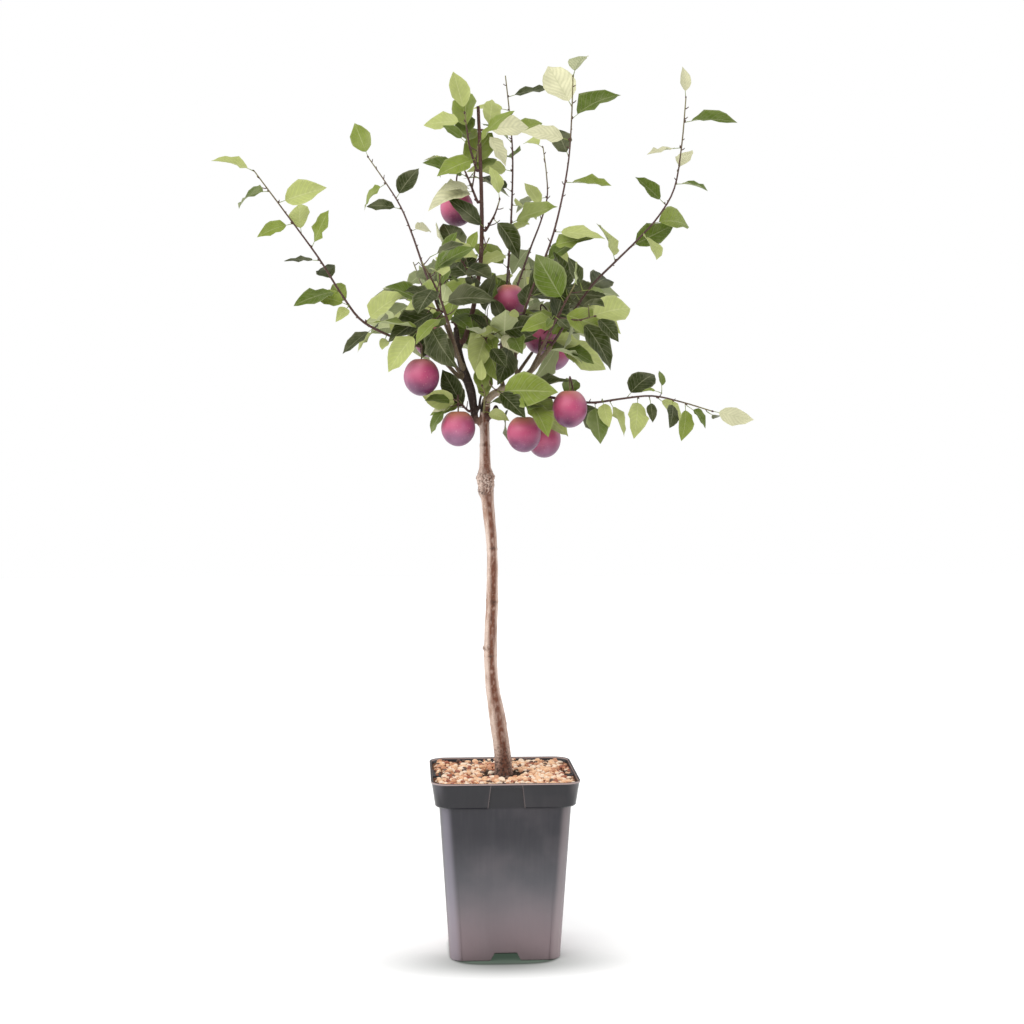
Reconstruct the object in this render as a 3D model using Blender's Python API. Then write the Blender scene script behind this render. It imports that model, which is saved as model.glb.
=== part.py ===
"""Potted plum tree: a young plum on its rootstock, in fruit, in a square nursery pot.

Metres, +Z up. The origin is on the ground at the middle of the pot's underside, and -Y is the
front. The trunk stands on a mound of the growing medium, forks low in the crown and carries
boughs. Each bough ends in one mass: a stem with twigs, leaves and plums that follow a seeded rule.
A leaf that would fill a gap of sky, or hide wood that shows bare from the front, is turned away.
"""

import math
import random
from collections import namedtuple

import bmesh
import bpy
from mathutils import Matrix, Vector, noise
from mathutils.bvhtree import BVHTree

# Driving sizes of the pot
POT_HEIGHT = 0.246
RIM_WIDTH = 0.200
COLLAR_HEIGHT = 0.035
COLLAR_FOOT_WIDTH = 0.190
BODY_TOP_WIDTH = 0.178
FOOT_WIDTH = 0.150
CORNER_RADIUS = 0.021
WALL = 0.0025
FLOOR = 0.015
JOIN = 0.010
HAIR = 0.0001
PANEL_TOP_WIDTH = 0.042
PANEL_FOOT_WIDTH = 0.050
PANEL_DROP = 0.006
PANEL_REACH = 0.12
NOTCH_WIDTH = 0.040
NOTCH_HEIGHT = 0.0114
NOTCH_DEPTH = 0.034
NOTCH_TOP_SHARE = 0.8
DRAIN_RADIUS = 0.006
DRAIN_INSET = 0.012

# Driving sizes of the filling
CLEAR = 0.0003
MEDIUM_TOP = 0.2105
DRESSING_TOP = 0.2404
DRESSING_CELLS = 10
DRESSING_GRAIN = 260.0
DRESSING_ROUGHNESS = 0.0022
DRESSING_DIP = 0.0035
DRESSING_DIP_RADIUS = 0.030
LID = 0.3
MOUND_TOP = 0.2385
MOUND_RADIUS = 0.021
MOUND_FOOT_RADIUS = 0.028
MOUND_ROOM = 0.001

# Driving sizes of the tree
TRUNK_SIDES = 10
STOUT_BOUGH_SIDES = 8
SLIM_BOUGH_SIDES = 6
STOUT_BOUGH_RADIUS = 0.004
BOUGH_MIDDLE = 0.4
LIMB_STEPS = 2
STEM_SIDES = 4
TWIG_SIDES = 4
STEM_RADIUS = 0.0019
TWIG_RADIUS = 0.0011
SHOOT_TIP = 0.0008
LEAF_THICKNESS = 0.0011
LEAF_STALK = 0.010
LEAF_ROOT = 0.0014
LEAF_NECK = 0.0038
STALK_HALF = 0.0008
LEAF_WIDTH = 0.58
LEAF_ROOM = 0.0007
PLUM_RADIUS = 0.0243
PLUM_STRETCH = 1.08
PLUM_STALK = 0.016
FOOT_ROOM = 0.0035
TURN = math.radians(137.5)
LEAF_TURNS = (0, 40, -40, 80, -80, 120, 180)
LEAF_FAN = 0.65
LEAF_FACING = 0.62
LEAF_ROLL = 30
TIP_LEAF = 0.85
FRONT = Vector((0.0, -1.0, 0.4)).normalized()
BACK = Vector((0.0, 1.0, 0.4)).normalized()
BARE_WOOD_ROOM = 0.0012
OPEN_PLUM_RADIUS = 0.018
NEAR_PLUM = -0.02

# Height, place across and radius of the trunk at each station, from the foot to the fork
TRUNK_STATIONS = (
    (MOUND_TOP + CLEAR, 0.0004, 0.0138),
    (0.2480, 0.0004, 0.0124),
    (0.2700, -0.0005, 0.0115),
    (0.3224, -0.0079, 0.0112),
    (0.3586, -0.0140, 0.0094),
    (0.4032, -0.0170, 0.0089),
    (0.4477, -0.0161, 0.0087),
    (0.4824, -0.0147, 0.0081),
    (0.5518, -0.0147, 0.0073),
    (0.6175, -0.0205, 0.0085),
    (0.6400, -0.0228, 0.0104),
    (0.6520, -0.0236, 0.0122),
    (0.6660, -0.0242, 0.0080),
    (0.7024, -0.0245, 0.0067),
    (0.7341, -0.0253, 0.0068),
    (0.7500, -0.0235, 0.0068),
)

# carrier: the limb it leaves, at the share `at` of its length, on the side `toward`
Bough = namedtuple("Bough", "name carrier at toward way thick")
Mass = namedtuple("Mass", "name carrier at toward way leaves size bare twigs reach seed plums", defaults=((),))

BOUGHS = (
    Bough(
        "left_bough", "trunk", 0.965, (-1, -0.1, 0),
        ((-0.044, -0.007, 0.771), (-0.056, -0.006, 0.806), (-0.062, -0.006, 0.835), (-0.0645, -0.006, 0.858)),
        (0.0044, 0.0068, 0.0036),
    ),
    Bough(
        "leader", "left_bough", 0.86, (1, 0, 0.2),
        ((-0.041, -0.008, 0.883), (-0.030, -0.003, 0.955), (-0.029, 0.002, 1.040), (-0.033, 0.012, 1.163)),
        (0.0036, 0.0031, 0.0024),
    ),
    Bough(
        "right_bough", "trunk", 1.0, (0, 0, 1),
        ((-0.011, 0.000, 0.768), (0.013, -0.004, 0.779), (0.040, -0.009, 0.800), (0.066, -0.014, 0.833)),
        (0.0058, 0.0045, 0.0030),
    ),
    Bough(
        "centre_bough", "right_bough", 0.30, (-0.1, 0.5, 1),
        ((-0.002, 0.012, 0.815), (0.003, 0.022, 0.868)),
        (0.0030, 0.0027, 0.0024),
    ),
    Bough(
        "upright_bough", "right_bough", 0.50, (-0.2, -0.5, 1),
        ((0.016, -0.024, 0.815), (0.019, -0.036, 0.848)),
        (0.0030, 0.0026, 0.0023),
    ),
    Bough(
        "low_right_bough", "right_bough", 0.52, (0.3, -1, -0.6),
        ((0.034, -0.026, 0.774), (0.060, -0.032, 0.763)),
        (0.0028, 0.0025, 0.0022),
    ),
    Bough(
        "far_left_bough", "left_bough", 0.52, (-1, -0.2, 0),
        ((-0.094, -0.012, 0.822), (-0.134, -0.018, 0.838)),
        (0.0030, 0.0026, 0.0023),
    ),
    Bough(
        "inner_left_bough", "left_bough", 0.72, (-0.6, 1, 0),
        ((-0.074, 0.016, 0.852), (-0.085, 0.035, 0.880)),
        (0.0028, 0.0025, 0.0022),
    ),
    Bough(
        "back_left_bough", "left_bough", 0.42, (-0.2, 1, 0),
        ((-0.066, 0.045, 0.812), (-0.080, 0.085, 0.845)),
        (0.0030, 0.0027, 0.0023),
    ),
    Bough(
        "back_right_bough", "right_bough", 0.42, (0.1, 1, -0.1),
        ((0.022, 0.040, 0.795), (0.046, 0.082, 0.828)),
        (0.0030, 0.0027, 0.0023),
    ),
    Bough(
        "front_left_bough", "left_bough", 0.60, (-0.1, -1, 0),
        ((-0.068, -0.045, 0.835), (-0.078, -0.082, 0.862)),
        (0.0028, 0.0025, 0.0022),
    ),
    Bough(
        "front_right_bough", "right_bough", 0.66, (0.2, -1, 0.3),
        ((0.048, -0.045, 0.822), (0.058, -0.080, 0.846)),
        (0.0028, 0.0025, 0.0022),
    ),
)

MASSES = (
    Mass(
        "centre_whip", "centre_bough", 1.0, (0, 0, 1),
        ((0.013, 0.046, 0.985), (0.018, 0.070, 1.110), (0.009, 0.090, 1.222)),
        15, 0.072, 0.06, 0, 0.0, 242, ((0.009, -0.006, 0.893),),
    ),
    Mass(
        "upright_right_whip", "upright_bough", 1.0, (0, 0, 1),
        ((0.036, -0.062, 0.905), (0.062, -0.090, 0.975), (0.080, -0.120, 1.070), (0.082, -0.155, 1.170)),
        14, 0.074, 0.04, 0, 0.0, 655,
    ),
    Mass(
        "arching_right_whip", "right_bough", 1.0, (0, 0, 1),
        ((0.120, -0.036, 0.914), (0.180, -0.055, 0.974), (0.226, -0.075, 1.040), (0.238, -0.095, 1.157)),
        14, 0.068, 0.06, 0, 0.0, 448,
    ),
    Mass(
        "back_whip", "centre_bough", 0.85, (0.2, 1, 0),
        ((0.026, 0.080, 0.925), (0.048, 0.112, 0.985), (0.074, 0.155, 1.060), (0.071, 0.196, 1.141)),
        6, 0.064, 0.10, 0, 0.0, 239,
    ),
    Mass(
        "inner_left_whip", "inner_left_bough", 1.0, (0, 0, 1),
        ((-0.110, 0.080, 0.955), (-0.140, 0.125, 1.040), (-0.188, 0.172, 1.119)),
        8, 0.068, 0.10, 0, 0.0, 133,
    ),
    Mass(
        "far_left_whip", "far_left_bough", 1.0, (0, 0, 1),
        ((-0.196, -0.030, 0.868), (-0.250, -0.047, 0.948), (-0.333, -0.070, 1.059)),
        13, 0.066, 0.02, 0, 0.0, 473, ((-0.112, -0.043, 0.789),),
    ),
    Mass(
        "low_right_whip", "low_right_bough", 1.0, (0, 0, 1),
        ((0.120, -0.056, 0.754), (0.195, -0.090, 0.762), (0.269, -0.126, 0.741)),
        10, 0.062, 0.03, 0, 0.0, 27, ((0.087, -0.062, 0.746),),
    ),
    Mass(
        "leader_top_spray", "leader", 0.90, (1, 0.4, 0.3),
        ((-0.018, 0.018, 1.132), (-0.006, 0.018, 1.146)),
        6, 0.066, 0.0, 0, 0.0, 400,
    ),
    Mass(
        "leader_left_twig", "leader", 0.73, (-1, -0.3, 0.4),
        ((-0.046, -0.004, 1.108), (-0.052, -0.010, 1.148)),
        8, 0.072, 0.25, 0, 0.0, 562,
    ),
    Mass(
        "leader_upper_spray", "leader", 0.60, (-1, 0.2, 0.4),
        ((-0.052, 0.010, 1.075), (-0.064, 0.014, 1.092)),
        9, 0.080, 0.0, 1, 0.05, 1, ((-0.062, 0.030, 1.026),),
    ),
    Mass(
        "leader_right_spray", "leader", 0.48, (1, -0.3, 0.4),
        ((-0.012, -0.020, 1.010), (-0.006, -0.034, 1.028)),
        6, 0.072, 0.0, 0, 0.0, 73,
    ),
    Mass(
        "leader_lower_spray", "leader", 0.26, (-1, -0.5, 0.3),
        ((-0.056, -0.026, 0.945), (-0.074, -0.040, 0.958)),
        9, 0.080, 0.0, 1, 0.05, 585,
    ),
    Mass(
        "left_heart_spray", "left_bough", 1.0, (0, 0, 1),
        ((-0.078, -0.018, 0.876), (-0.104, -0.034, 0.884)),
        12, 0.080, 0.0, 2, 0.06, 223,
    ),
    Mass(
        "centre_heart_spray", "centre_bough", 0.55, (-1, -0.4, 0.3),
        ((-0.016, -0.012, 0.850), (-0.026, -0.030, 0.870)),
        10, 0.080, 0.0, 2, 0.05, 455,
    ),
    Mass(
        "right_heart_spray", "right_bough", 0.84, (-0.3, 0.4, 1),
        ((0.056, 0.014, 0.862), (0.078, 0.018, 0.882)),
        11, 0.080, 0.0, 2, 0.06, 291, ((0.055, 0.027, 0.849),),
    ),
    Mass(
        "fork_spray", "trunk", 0.985, (-0.2, -1, 0.2),
        ((-0.026, -0.030, 0.766), (-0.030, -0.042, 0.776)),
        9, 0.046, 0.0, 0, 0.0, 442,
    ),
    Mass(
        "low_left_spray", "left_bough", 0.14, (-1, -0.4, -0.2),
        ((-0.058, -0.022, 0.752), (-0.066, -0.030, 0.758)),
        9, 0.054, 0.0, 0, 0.0, 226, ((-0.062, -0.026, 0.720),),
    ),
    Mass(
        "low_centre_spray", "right_bough", 0.40, (0, -1, -0.5),
        ((0.014, -0.034, 0.764), (0.030, -0.050, 0.758)),
        9, 0.082, 0.0, 2, 0.045, 368, ((0.026, -0.052, 0.712), (0.057, -0.006, 0.705)),
    ),
    Mass(
        "back_left_spray", "back_left_bough", 1.0, (0, 1, 0.5),
        ((-0.098, 0.135, 0.898), (-0.122, 0.190, 0.968)),
        11, 0.074, 0.0, 2, 0.05, 350, ((-0.098, 0.138, 0.850),),
    ),
    Mass(
        "back_right_spray", "back_right_bough", 1.0, (0, 1, 0.5),
        ((0.080, 0.130, 0.880), (0.128, 0.182, 0.952)),
        12, 0.074, 0.0, 2, 0.05, 397, ((0.082, 0.130, 0.832),),
    ),
    Mass(
        "front_left_spray", "front_left_bough", 1.0, (0, -1, 0.4),
        ((-0.092, -0.120, 0.898), (-0.112, -0.160, 0.930)),
        9, 0.072, 0.0, 1, 0.05, 464,
    ),
    Mass(
        "front_right_spray", "front_right_bough", 1.0, (0, -1, 0.4),
        ((0.072, -0.118, 0.876), (0.084, -0.160, 0.902)),
        9, 0.074, 0.0, 1, 0.05, 348,
    ),
)

# The front view: where its eye stands, and the gaps between the leaves that show sky there. Each gap
# has two ends, as places across and heights in the plane of the trunk, and a half width.
EYE = Vector((-0.130, -2.362, 0.688))
Gap = namedtuple("Gap", "start end half")
SKY_GAPS = (
    Gap((0.135, 1.120), (0.190, 1.150), 0.026),
    Gap((0.165, 1.225), (0.195, 1.185), 0.026),
    Gap((0.130, 1.034), (0.180, 1.040), 0.014),
    Gap((0.173, 1.000), (0.180, 1.010), 0.016),
    Gap((0.205, 0.910), (0.235, 0.840), 0.032),
    Gap((0.118, 0.770), (0.160, 0.773), 0.011),
    Gap((0.110, 0.958), (0.142, 0.948), 0.012),
    Gap((-0.015, 1.030), (-0.016, 0.990), 0.009),
    Gap((-0.125, 0.962), (-0.098, 0.964), 0.013),
    Gap((-0.220, 0.962), (-0.160, 0.952), 0.022),
    Gap((-0.150, 1.225), (-0.140, 1.110), 0.030),
    Gap((-0.065, 1.245), (-0.020, 1.240), 0.020),
    Gap((-0.100, 1.106), (-0.058, 1.108), 0.009),
    Gap((0.014, 1.210), (0.016, 1.172), 0.008),
    Gap((0.064, 1.160), (0.074, 1.146), 0.010),
    Gap((0.060, 1.092), (0.072, 1.052), 0.009),
    Gap((0.044, 0.994), (0.058, 0.984), 0.011),
    Gap((-0.106, 1.062), (-0.104, 1.026), 0.008),
    Gap((-0.160, 0.722), (-0.210, 0.760), 0.036),
    Gap((0.245, 0.815), (0.310, 0.810), 0.030),
)
# Wood that the front view shows bare, and the shares of its length between which it comes free
BARE_WOOD = {
    "trunk": (0.72, 1.0),
    "left_bough": (0.0, 1.0),
    "right_bough": (0.0, 0.32),
    "leader": (0.30, 1.0),
}


def clear_scene():
    """Removes every object."""
    for obj in list(bpy.data.objects):
        bpy.data.objects.remove(obj, do_unlink=True)


def new_collection(name):
    """A collection in the scene."""
    collection = bpy.data.collections.new(name)
    bpy.context.scene.collection.children.link(collection)
    return collection


def new_material(name, colour, roughness):
    """A plain material of one colour."""
    material = bpy.data.materials.new(name)
    material.use_nodes = True
    shader = material.node_tree.nodes["Principled BSDF"]
    shader.inputs["Base Color"].default_value = (*colour, 1.0)
    shader.inputs["Roughness"].default_value = roughness
    shader.inputs["Metallic"].default_value = 0.0
    return material


def add_mesh_object(name, bm, collection, material=None):
    """Turns a worked mesh into an object, and frees it."""
    mesh = bpy.data.meshes.new(name)
    bm.to_mesh(mesh)
    bm.free()
    obj = bpy.data.objects.new(name, mesh)
    collection.objects.link(obj)
    if material:
        mesh.materials.append(material)
    return obj


def apply_boolean(obj, operation, other=None, collection=None):
    """Joins or cuts obj by one object or a collection of them, and removes what it used."""
    modifier = obj.modifiers.new("fuse", "BOOLEAN")
    modifier.operation = operation
    if collection:
        modifier.operand_type = "COLLECTION"
        modifier.collection = collection
        used = list(collection.objects)
    else:
        modifier.object = other
        used = [other]
    bpy.context.view_layer.update()
    graph = bpy.context.evaluated_depsgraph_get()
    mesh = bpy.data.meshes.new_from_object(obj.evaluated_get(graph))
    obj.modifiers.remove(modifier)
    obj.data = mesh
    for item in used:
        bpy.data.objects.remove(item, do_unlink=True)


# Pot and filling


def tapered_block(name, foot, top, low, high, corner, collection):
    """An upright block whose square plan goes from foot to top wide, with its corners rounded."""
    bm = bmesh.new()
    bmesh.ops.create_cube(bm, size=1.0)
    for vert in bm.verts:
        width = top if vert.co.z > 0 else foot
        vert.co = Vector((vert.co.x * width, vert.co.y * width, high if vert.co.z > 0 else low))
    if corner:
        uprights = [edge for edge in bm.edges if abs(edge.verts[0].co.z - edge.verts[1].co.z) > 1e-6]
        bmesh.ops.bevel(bm, geom=uprights, offset=corner, segments=3, profile=0.5, affect="EDGES")
    return add_mesh_object(name, bm, collection)


def body_width(height):
    """Width of the pot's body at a height."""
    share = height / (POT_HEIGHT - COLLAR_HEIGHT)
    return FOOT_WIDTH + (BODY_TOP_WIDTH - FOOT_WIDTH) * share


def panel_block(name, quarter, front, back, widen, low, high, collection):
    """The trapezoid of a collar panel on one side of the pot, between two distances from its middle."""
    bm = bmesh.new()
    bmesh.ops.create_cube(bm, size=1.0)
    for vert in bm.verts:
        width = (PANEL_TOP_WIDTH if vert.co.z > 0 else PANEL_FOOT_WIDTH) + widen
        place = front if vert.co.y < 0 else back
        vert.co = Vector((vert.co.x * width, -place, high if vert.co.z > 0 else low))
    bm.transform(Matrix.Rotation(quarter * math.pi / 2, 4, "Z"))
    return add_mesh_object(name, bm, collection)


def inside_of_pot(name, inset, collection):
    """The room inside the pot, drawn in by inset, as one solid that rises past the rim."""
    shoulder = POT_HEIGHT - COLLAR_HEIGHT
    less = 2 * (WALL + inset)
    room = tapered_block(
        name, body_width(FLOOR) - less, BODY_TOP_WIDTH - less,
        FLOOR + inset, shoulder + 2 * WALL, CORNER_RADIUS - WALL, collection,
    )
    slope = (RIM_WIDTH - COLLAR_FOOT_WIDTH) / COLLAR_HEIGHT
    upper = tapered_block(
        name + "_upper", COLLAR_FOOT_WIDTH + slope * WALL - less, RIM_WIDTH + slope * JOIN - less,
        shoulder + WALL - 2 * HAIR + inset, POT_HEIGHT + JOIN, CORNER_RADIUS - WALL, collection,
    )
    apply_boolean(room, "UNION", upper)
    for quarter in range(4):
        backing = panel_block(
            name + "_backing", quarter, PANEL_REACH, BODY_TOP_WIDTH / 2 - WALL - inset,
            2 * (WALL + inset), shoulder - JOIN, POT_HEIGHT - PANEL_DROP + WALL + inset, collection,
        )
        apply_boolean(room, "DIFFERENCE", backing)
    return room


def make_pot(parts, cutters, material):
    """The hollow tapered pot with its collar, four set-back panels, foot notches and drain holes."""
    shoulder = POT_HEIGHT - COLLAR_HEIGHT
    pot = tapered_block("pot", FOOT_WIDTH, BODY_TOP_WIDTH, 0.0, shoulder, CORNER_RADIUS, parts)
    collar = tapered_block(
        "collar", COLLAR_FOOT_WIDTH, RIM_WIDTH, shoulder - HAIR, POT_HEIGHT, CORNER_RADIUS, cutters
    )
    apply_boolean(pot, "UNION", collar)
    for quarter in range(4):
        panel = panel_block(
            "panel", quarter, PANEL_REACH, BODY_TOP_WIDTH / 2, 0.0,
            shoulder - JOIN, POT_HEIGHT - PANEL_DROP, cutters,
        )
        apply_boolean(pot, "DIFFERENCE", panel)
    apply_boolean(pot, "DIFFERENCE", inside_of_pot("room", 0.0, cutters))
    for quarter in range(4):
        turn = Matrix.Rotation(quarter * math.pi / 2, 4, "Z")
        notch = bmesh.new()
        bmesh.ops.create_cube(notch, size=1.0)
        for vert in notch.verts:
            upper = vert.co.z > 0
            width = NOTCH_WIDTH * (NOTCH_TOP_SHARE if upper else 1.0)
            depth = -PANEL_REACH if vert.co.y < 0 else NOTCH_DEPTH - FOOT_WIDTH / 2
            vert.co = Vector((vert.co.x * width, depth, NOTCH_HEIGHT if upper else -HAIR))
        notch.transform(turn)
        apply_boolean(pot, "DIFFERENCE", add_mesh_object("notch", notch, cutters))
        drain = bmesh.new()
        bmesh.ops.create_cone(
            drain, cap_ends=True, segments=12, radius1=DRAIN_RADIUS, radius2=DRAIN_RADIUS, depth=2 * FLOOR
        )
        drain.transform(turn @ Matrix.Translation((0.0, DRAIN_INSET - FOOT_WIDTH / 2, FLOOR)))
        apply_boolean(pot, "DIFFERENCE", add_mesh_object("drain", drain, cutters))
    pot.data.materials.clear()
    pot.data.materials.append(material)
    return pot


def cone_block(name, low, high, foot_radius, top_radius, collection):
    """An upright block of round plan that narrows from low to high."""
    bm = bmesh.new()
    bmesh.ops.create_cone(
        bm, cap_ends=True, segments=16, radius1=foot_radius, radius2=top_radius, depth=high - low
    )
    bm.transform(Matrix.Translation((0.0, 0.0, (low + high) / 2)))
    return add_mesh_object(name, bm, collection)


def make_growing_medium(parts, cutters, material):
    """The soil, up to the collar, with the mound in the middle that the trunk stands on."""
    medium = inside_of_pot("growing_medium", CLEAR, parts)
    lid = tapered_block("lid", LID, LID, MEDIUM_TOP, LID, 0.0, cutters)
    apply_boolean(medium, "DIFFERENCE", lid)
    mound = cone_block("mound", MEDIUM_TOP - JOIN, MOUND_TOP, MOUND_FOOT_RADIUS, MOUND_RADIUS, cutters)
    apply_boolean(medium, "UNION", mound)
    medium.data.materials.clear()
    medium.data.materials.append(material)
    return medium


def make_top_dressing(parts, cutters, material):
    """The layer of small stones: uneven on top, with a dip at the mound that it lies round."""
    dressing = inside_of_pot("top_dressing", CLEAR, parts)
    bm = bmesh.new()
    bmesh.ops.create_grid(bm, x_segments=DRESSING_CELLS, y_segments=DRESSING_CELLS, size=RIM_WIDTH * 0.55)
    for vert in bm.verts:
        rough = noise.noise(vert.co * DRESSING_GRAIN) * DRESSING_ROUGHNESS
        dip = DRESSING_DIP * math.exp(-((vert.co.length / DRESSING_DIP_RADIUS) ** 2))
        vert.co.z = DRESSING_TOP + rough - dip
    sheet = list(bm.faces)
    low = MEDIUM_TOP + CLEAR
    made = bmesh.ops.extrude_face_region(bm, geom=sheet)
    for item in made["geom"]:
        if isinstance(item, bmesh.types.BMVert):
            item.co.z = low
    flat = [face for face in bm.faces if all(abs(vert.co.z - low) < 1e-6 for vert in face.verts)]
    bmesh.ops.dissolve_faces(bm, faces=flat)
    bmesh.ops.recalc_face_normals(bm, faces=bm.faces)
    layer = add_mesh_object("layer", bm, cutters)
    apply_boolean(dressing, "INTERSECT", layer)
    hole = cone_block(
        "hole", MEDIUM_TOP - JOIN, MOUND_TOP + JOIN, MOUND_FOOT_RADIUS + MOUND_ROOM,
        MOUND_RADIUS + MOUND_ROOM, cutters,
    )
    apply_boolean(dressing, "DIFFERENCE", hole)
    dressing.data.materials.clear()
    dressing.data.materials.append(material)
    return dressing


# Limbs


def smooth_way(points, steps):
    """A smooth line through the points, with some steps from each to the next."""
    ends = [points[0] * 2 - points[1], *points, points[-1] * 2 - points[-2]]
    line = []
    for before, start, end, after in zip(ends, ends[1:], ends[2:], ends[3:]):
        for step in range(steps):
            t = step / steps
            line.append(
                0.5 * (
                    2 * start
                    + (end - before) * t
                    + (2 * before - 5 * start + 4 * end - after) * t * t
                    + (3 * start - before - 3 * end + after) * t * t * t
                )
            )
    line.append(points[-1].copy())
    return line


class Limb:
    """A line with a radius at each point, that other limbs can leave."""

    def __init__(self, points, radii):
        self.points = points
        self.radii = radii
        self.runs = [0.0]
        for a, b in zip(points, points[1:]):
            self.runs.append(self.runs[-1] + (b - a).length)
        self.length = self.runs[-1]

    def at(self, share):
        """Place, direction and radius at a share of the length."""
        run = min(max(share, 0.0), 1.0) * self.length
        index = next((i for i in range(len(self.runs) - 2) if self.runs[i + 1] >= run), len(self.runs) - 2)
        part = (run - self.runs[index]) / (self.runs[index + 1] - self.runs[index])
        a, b = self.points[index], self.points[index + 1]
        radius = self.radii[index] + (self.radii[index + 1] - self.radii[index]) * part
        return a.lerp(b, part), (b - a).normalized(), radius

    def seat(self, share, toward):
        """The foot of a limb that leaves here, clear of the surface, and the way it faces."""
        place, along, radius = self.at(share)
        if share >= 1.0:
            return place + along * CLEAR, along
        side = Vector(toward)
        side = (side - side.project(along)).normalized()
        return place + side * (radius + CLEAR), side


def grown_limb(carrier, at, toward, way, radius_of, steps):
    """A limb that leaves its carrier and runs smoothly along its way."""
    foot, side = carrier.seat(at, toward)
    first = foot + side * radius_of(0.0) * 1.3
    line = [foot, *smooth_way([first, *map(Vector, way)], steps)]
    limb = Limb(line, [0.0] * len(line))
    limb.radii = [radius_of(run / limb.length) for run in limb.runs]
    return limb


def add_tube(name, limb, sides, collection, material=None):
    """The limb as a closed mesh with flat ends."""
    curve = bpy.data.curves.new(name, "CURVE")
    curve.dimensions = "3D"
    curve.bevel_depth = 1.0
    curve.bevel_resolution = (sides - 4) // 2
    curve.use_fill_caps = True
    spline = curve.splines.new("POLY")
    spline.points.add(len(limb.points) - 1)
    for point, place, radius in zip(spline.points, limb.points, limb.radii):
        point.co = (*place, 1.0)
        point.radius = radius
    guide = bpy.data.objects.new(name + "_line", curve)
    collection.objects.link(guide)
    bpy.context.view_layer.update()
    graph = bpy.context.evaluated_depsgraph_get()
    mesh = bpy.data.meshes.new_from_object(guide.evaluated_get(graph))
    bpy.data.objects.remove(guide, do_unlink=True)
    bpy.data.curves.remove(curve)
    bm = bmesh.new()
    bm.from_mesh(mesh)
    bpy.data.meshes.remove(mesh)
    bmesh.ops.remove_doubles(bm, verts=bm.verts, dist=1e-5)
    bmesh.ops.recalc_face_normals(bm, faces=bm.faces)
    return add_mesh_object(name, bm, collection, material)


def make_trunk(parts, material):
    """The trunk, from its flat cut to its fork."""
    points = [Vector((across, 0.0, height)) for height, across, radius in TRUNK_STATIONS]
    limb = Limb(points, [radius for height, across, radius in TRUNK_STATIONS])
    return limb, add_tube("trunk", limb, TRUNK_SIDES, parts, material)


def bough_radius(thick):
    """The radius of a bough along its length, from its foot by way of its middle to its tip."""
    foot, middle, tip = thick

    def radius_of(share):
        if share < BOUGH_MIDDLE:
            return foot + (middle - foot) * share / BOUGH_MIDDLE
        return middle + (tip - middle) * (share - BOUGH_MIDDLE) / (1 - BOUGH_MIDDLE)

    return radius_of


def stem_radius(share):
    """The radius of a mass's stem along its length."""
    return STEM_RADIUS + (SHOOT_TIP - STEM_RADIUS) * share


# Masses


Leaf = namedtuple("Leaf", "root axis up length width fold curl")
Start = namedtuple("Start", "mass dice stem twigs loose body trees")


def side_of(along, turn):
    """The direction square to along, at an angle round it."""
    start = along.orthogonal().normalized()
    level = Vector((0, 0, 1)).cross(along)
    if level.length > 0.05:
        start = level.normalized()
    return Matrix.Rotation(turn, 3, along) @ start


def grown_twigs(mass, stem, dice):
    """The side twigs of a mass, each a short limb that leaves the stem and lifts."""
    twigs = []
    for index in range(mass.twigs):
        share = mass.bare + (1 - mass.bare) * (index + 0.6) / (mass.twigs + 0.9)
        place, along, radius = stem.at(share)
        side = side_of(along, dice.uniform(0, 6.28) + index * TURN)
        length = mass.reach * dice.uniform(0.8, 1.2)
        heading = (along * 0.55 + side * 0.85).normalized()
        middle = place + heading * length * 0.55
        tip = middle + (heading + Vector((0, 0, 0.35))) * length * 0.45
        points = smooth_way([place, middle, tip], 2)
        radii = [TWIG_RADIUS + (SHOOT_TIP - TWIG_RADIUS) * i / (len(points) - 1) for i in range(len(points))]
        twigs.append(Limb(points, radii))
    return twigs


def leaf_choices(shoot, share, turn, size, tip, face, dice):
    """Where a leaf may go, best first: the same leaf turned step by step round its shoot.

    Leaves fan out across the way their mass faces, and turn their upper sides to it.
    """
    place, along, radius = shoot.at(share)
    length = size * dice.uniform(0.74, 1.12)
    width = (length - LEAF_STALK) * LEAF_WIDTH * dice.uniform(0.84, 1.10)
    opening = math.radians(dice.uniform(12, 28) if tip else dice.uniform(42, 74))
    droop = dice.uniform(0.0, 0.45)
    roll = math.radians(dice.uniform(-LEAF_ROLL, LEAF_ROLL))
    fold = dice.uniform(0.10, 0.52)
    curl = math.radians(dice.uniform(5, 58))
    choices = []
    for extra in LEAF_TURNS:
        side = side_of(along, turn + math.radians(extra))
        side = (side - side.project(face) * LEAF_FAN).normalized()
        axis = along * math.cos(opening) + side * math.sin(opening) - Vector((0, 0, droop))
        axis.normalize()
        up = along - along.project(axis)
        if up.length < 0.2 or up.z < -0.2:
            up = Vector((0, 0, 1)) - Vector((0, 0, 1)).project(axis)
        up = up.normalized().lerp(face, LEAF_FACING)
        up = Matrix.Rotation(roll, 3, axis) @ (up - up.project(axis)).normalized()
        choices.append(Leaf(place, axis, up, length, width, fold, curl))
    return choices


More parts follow.
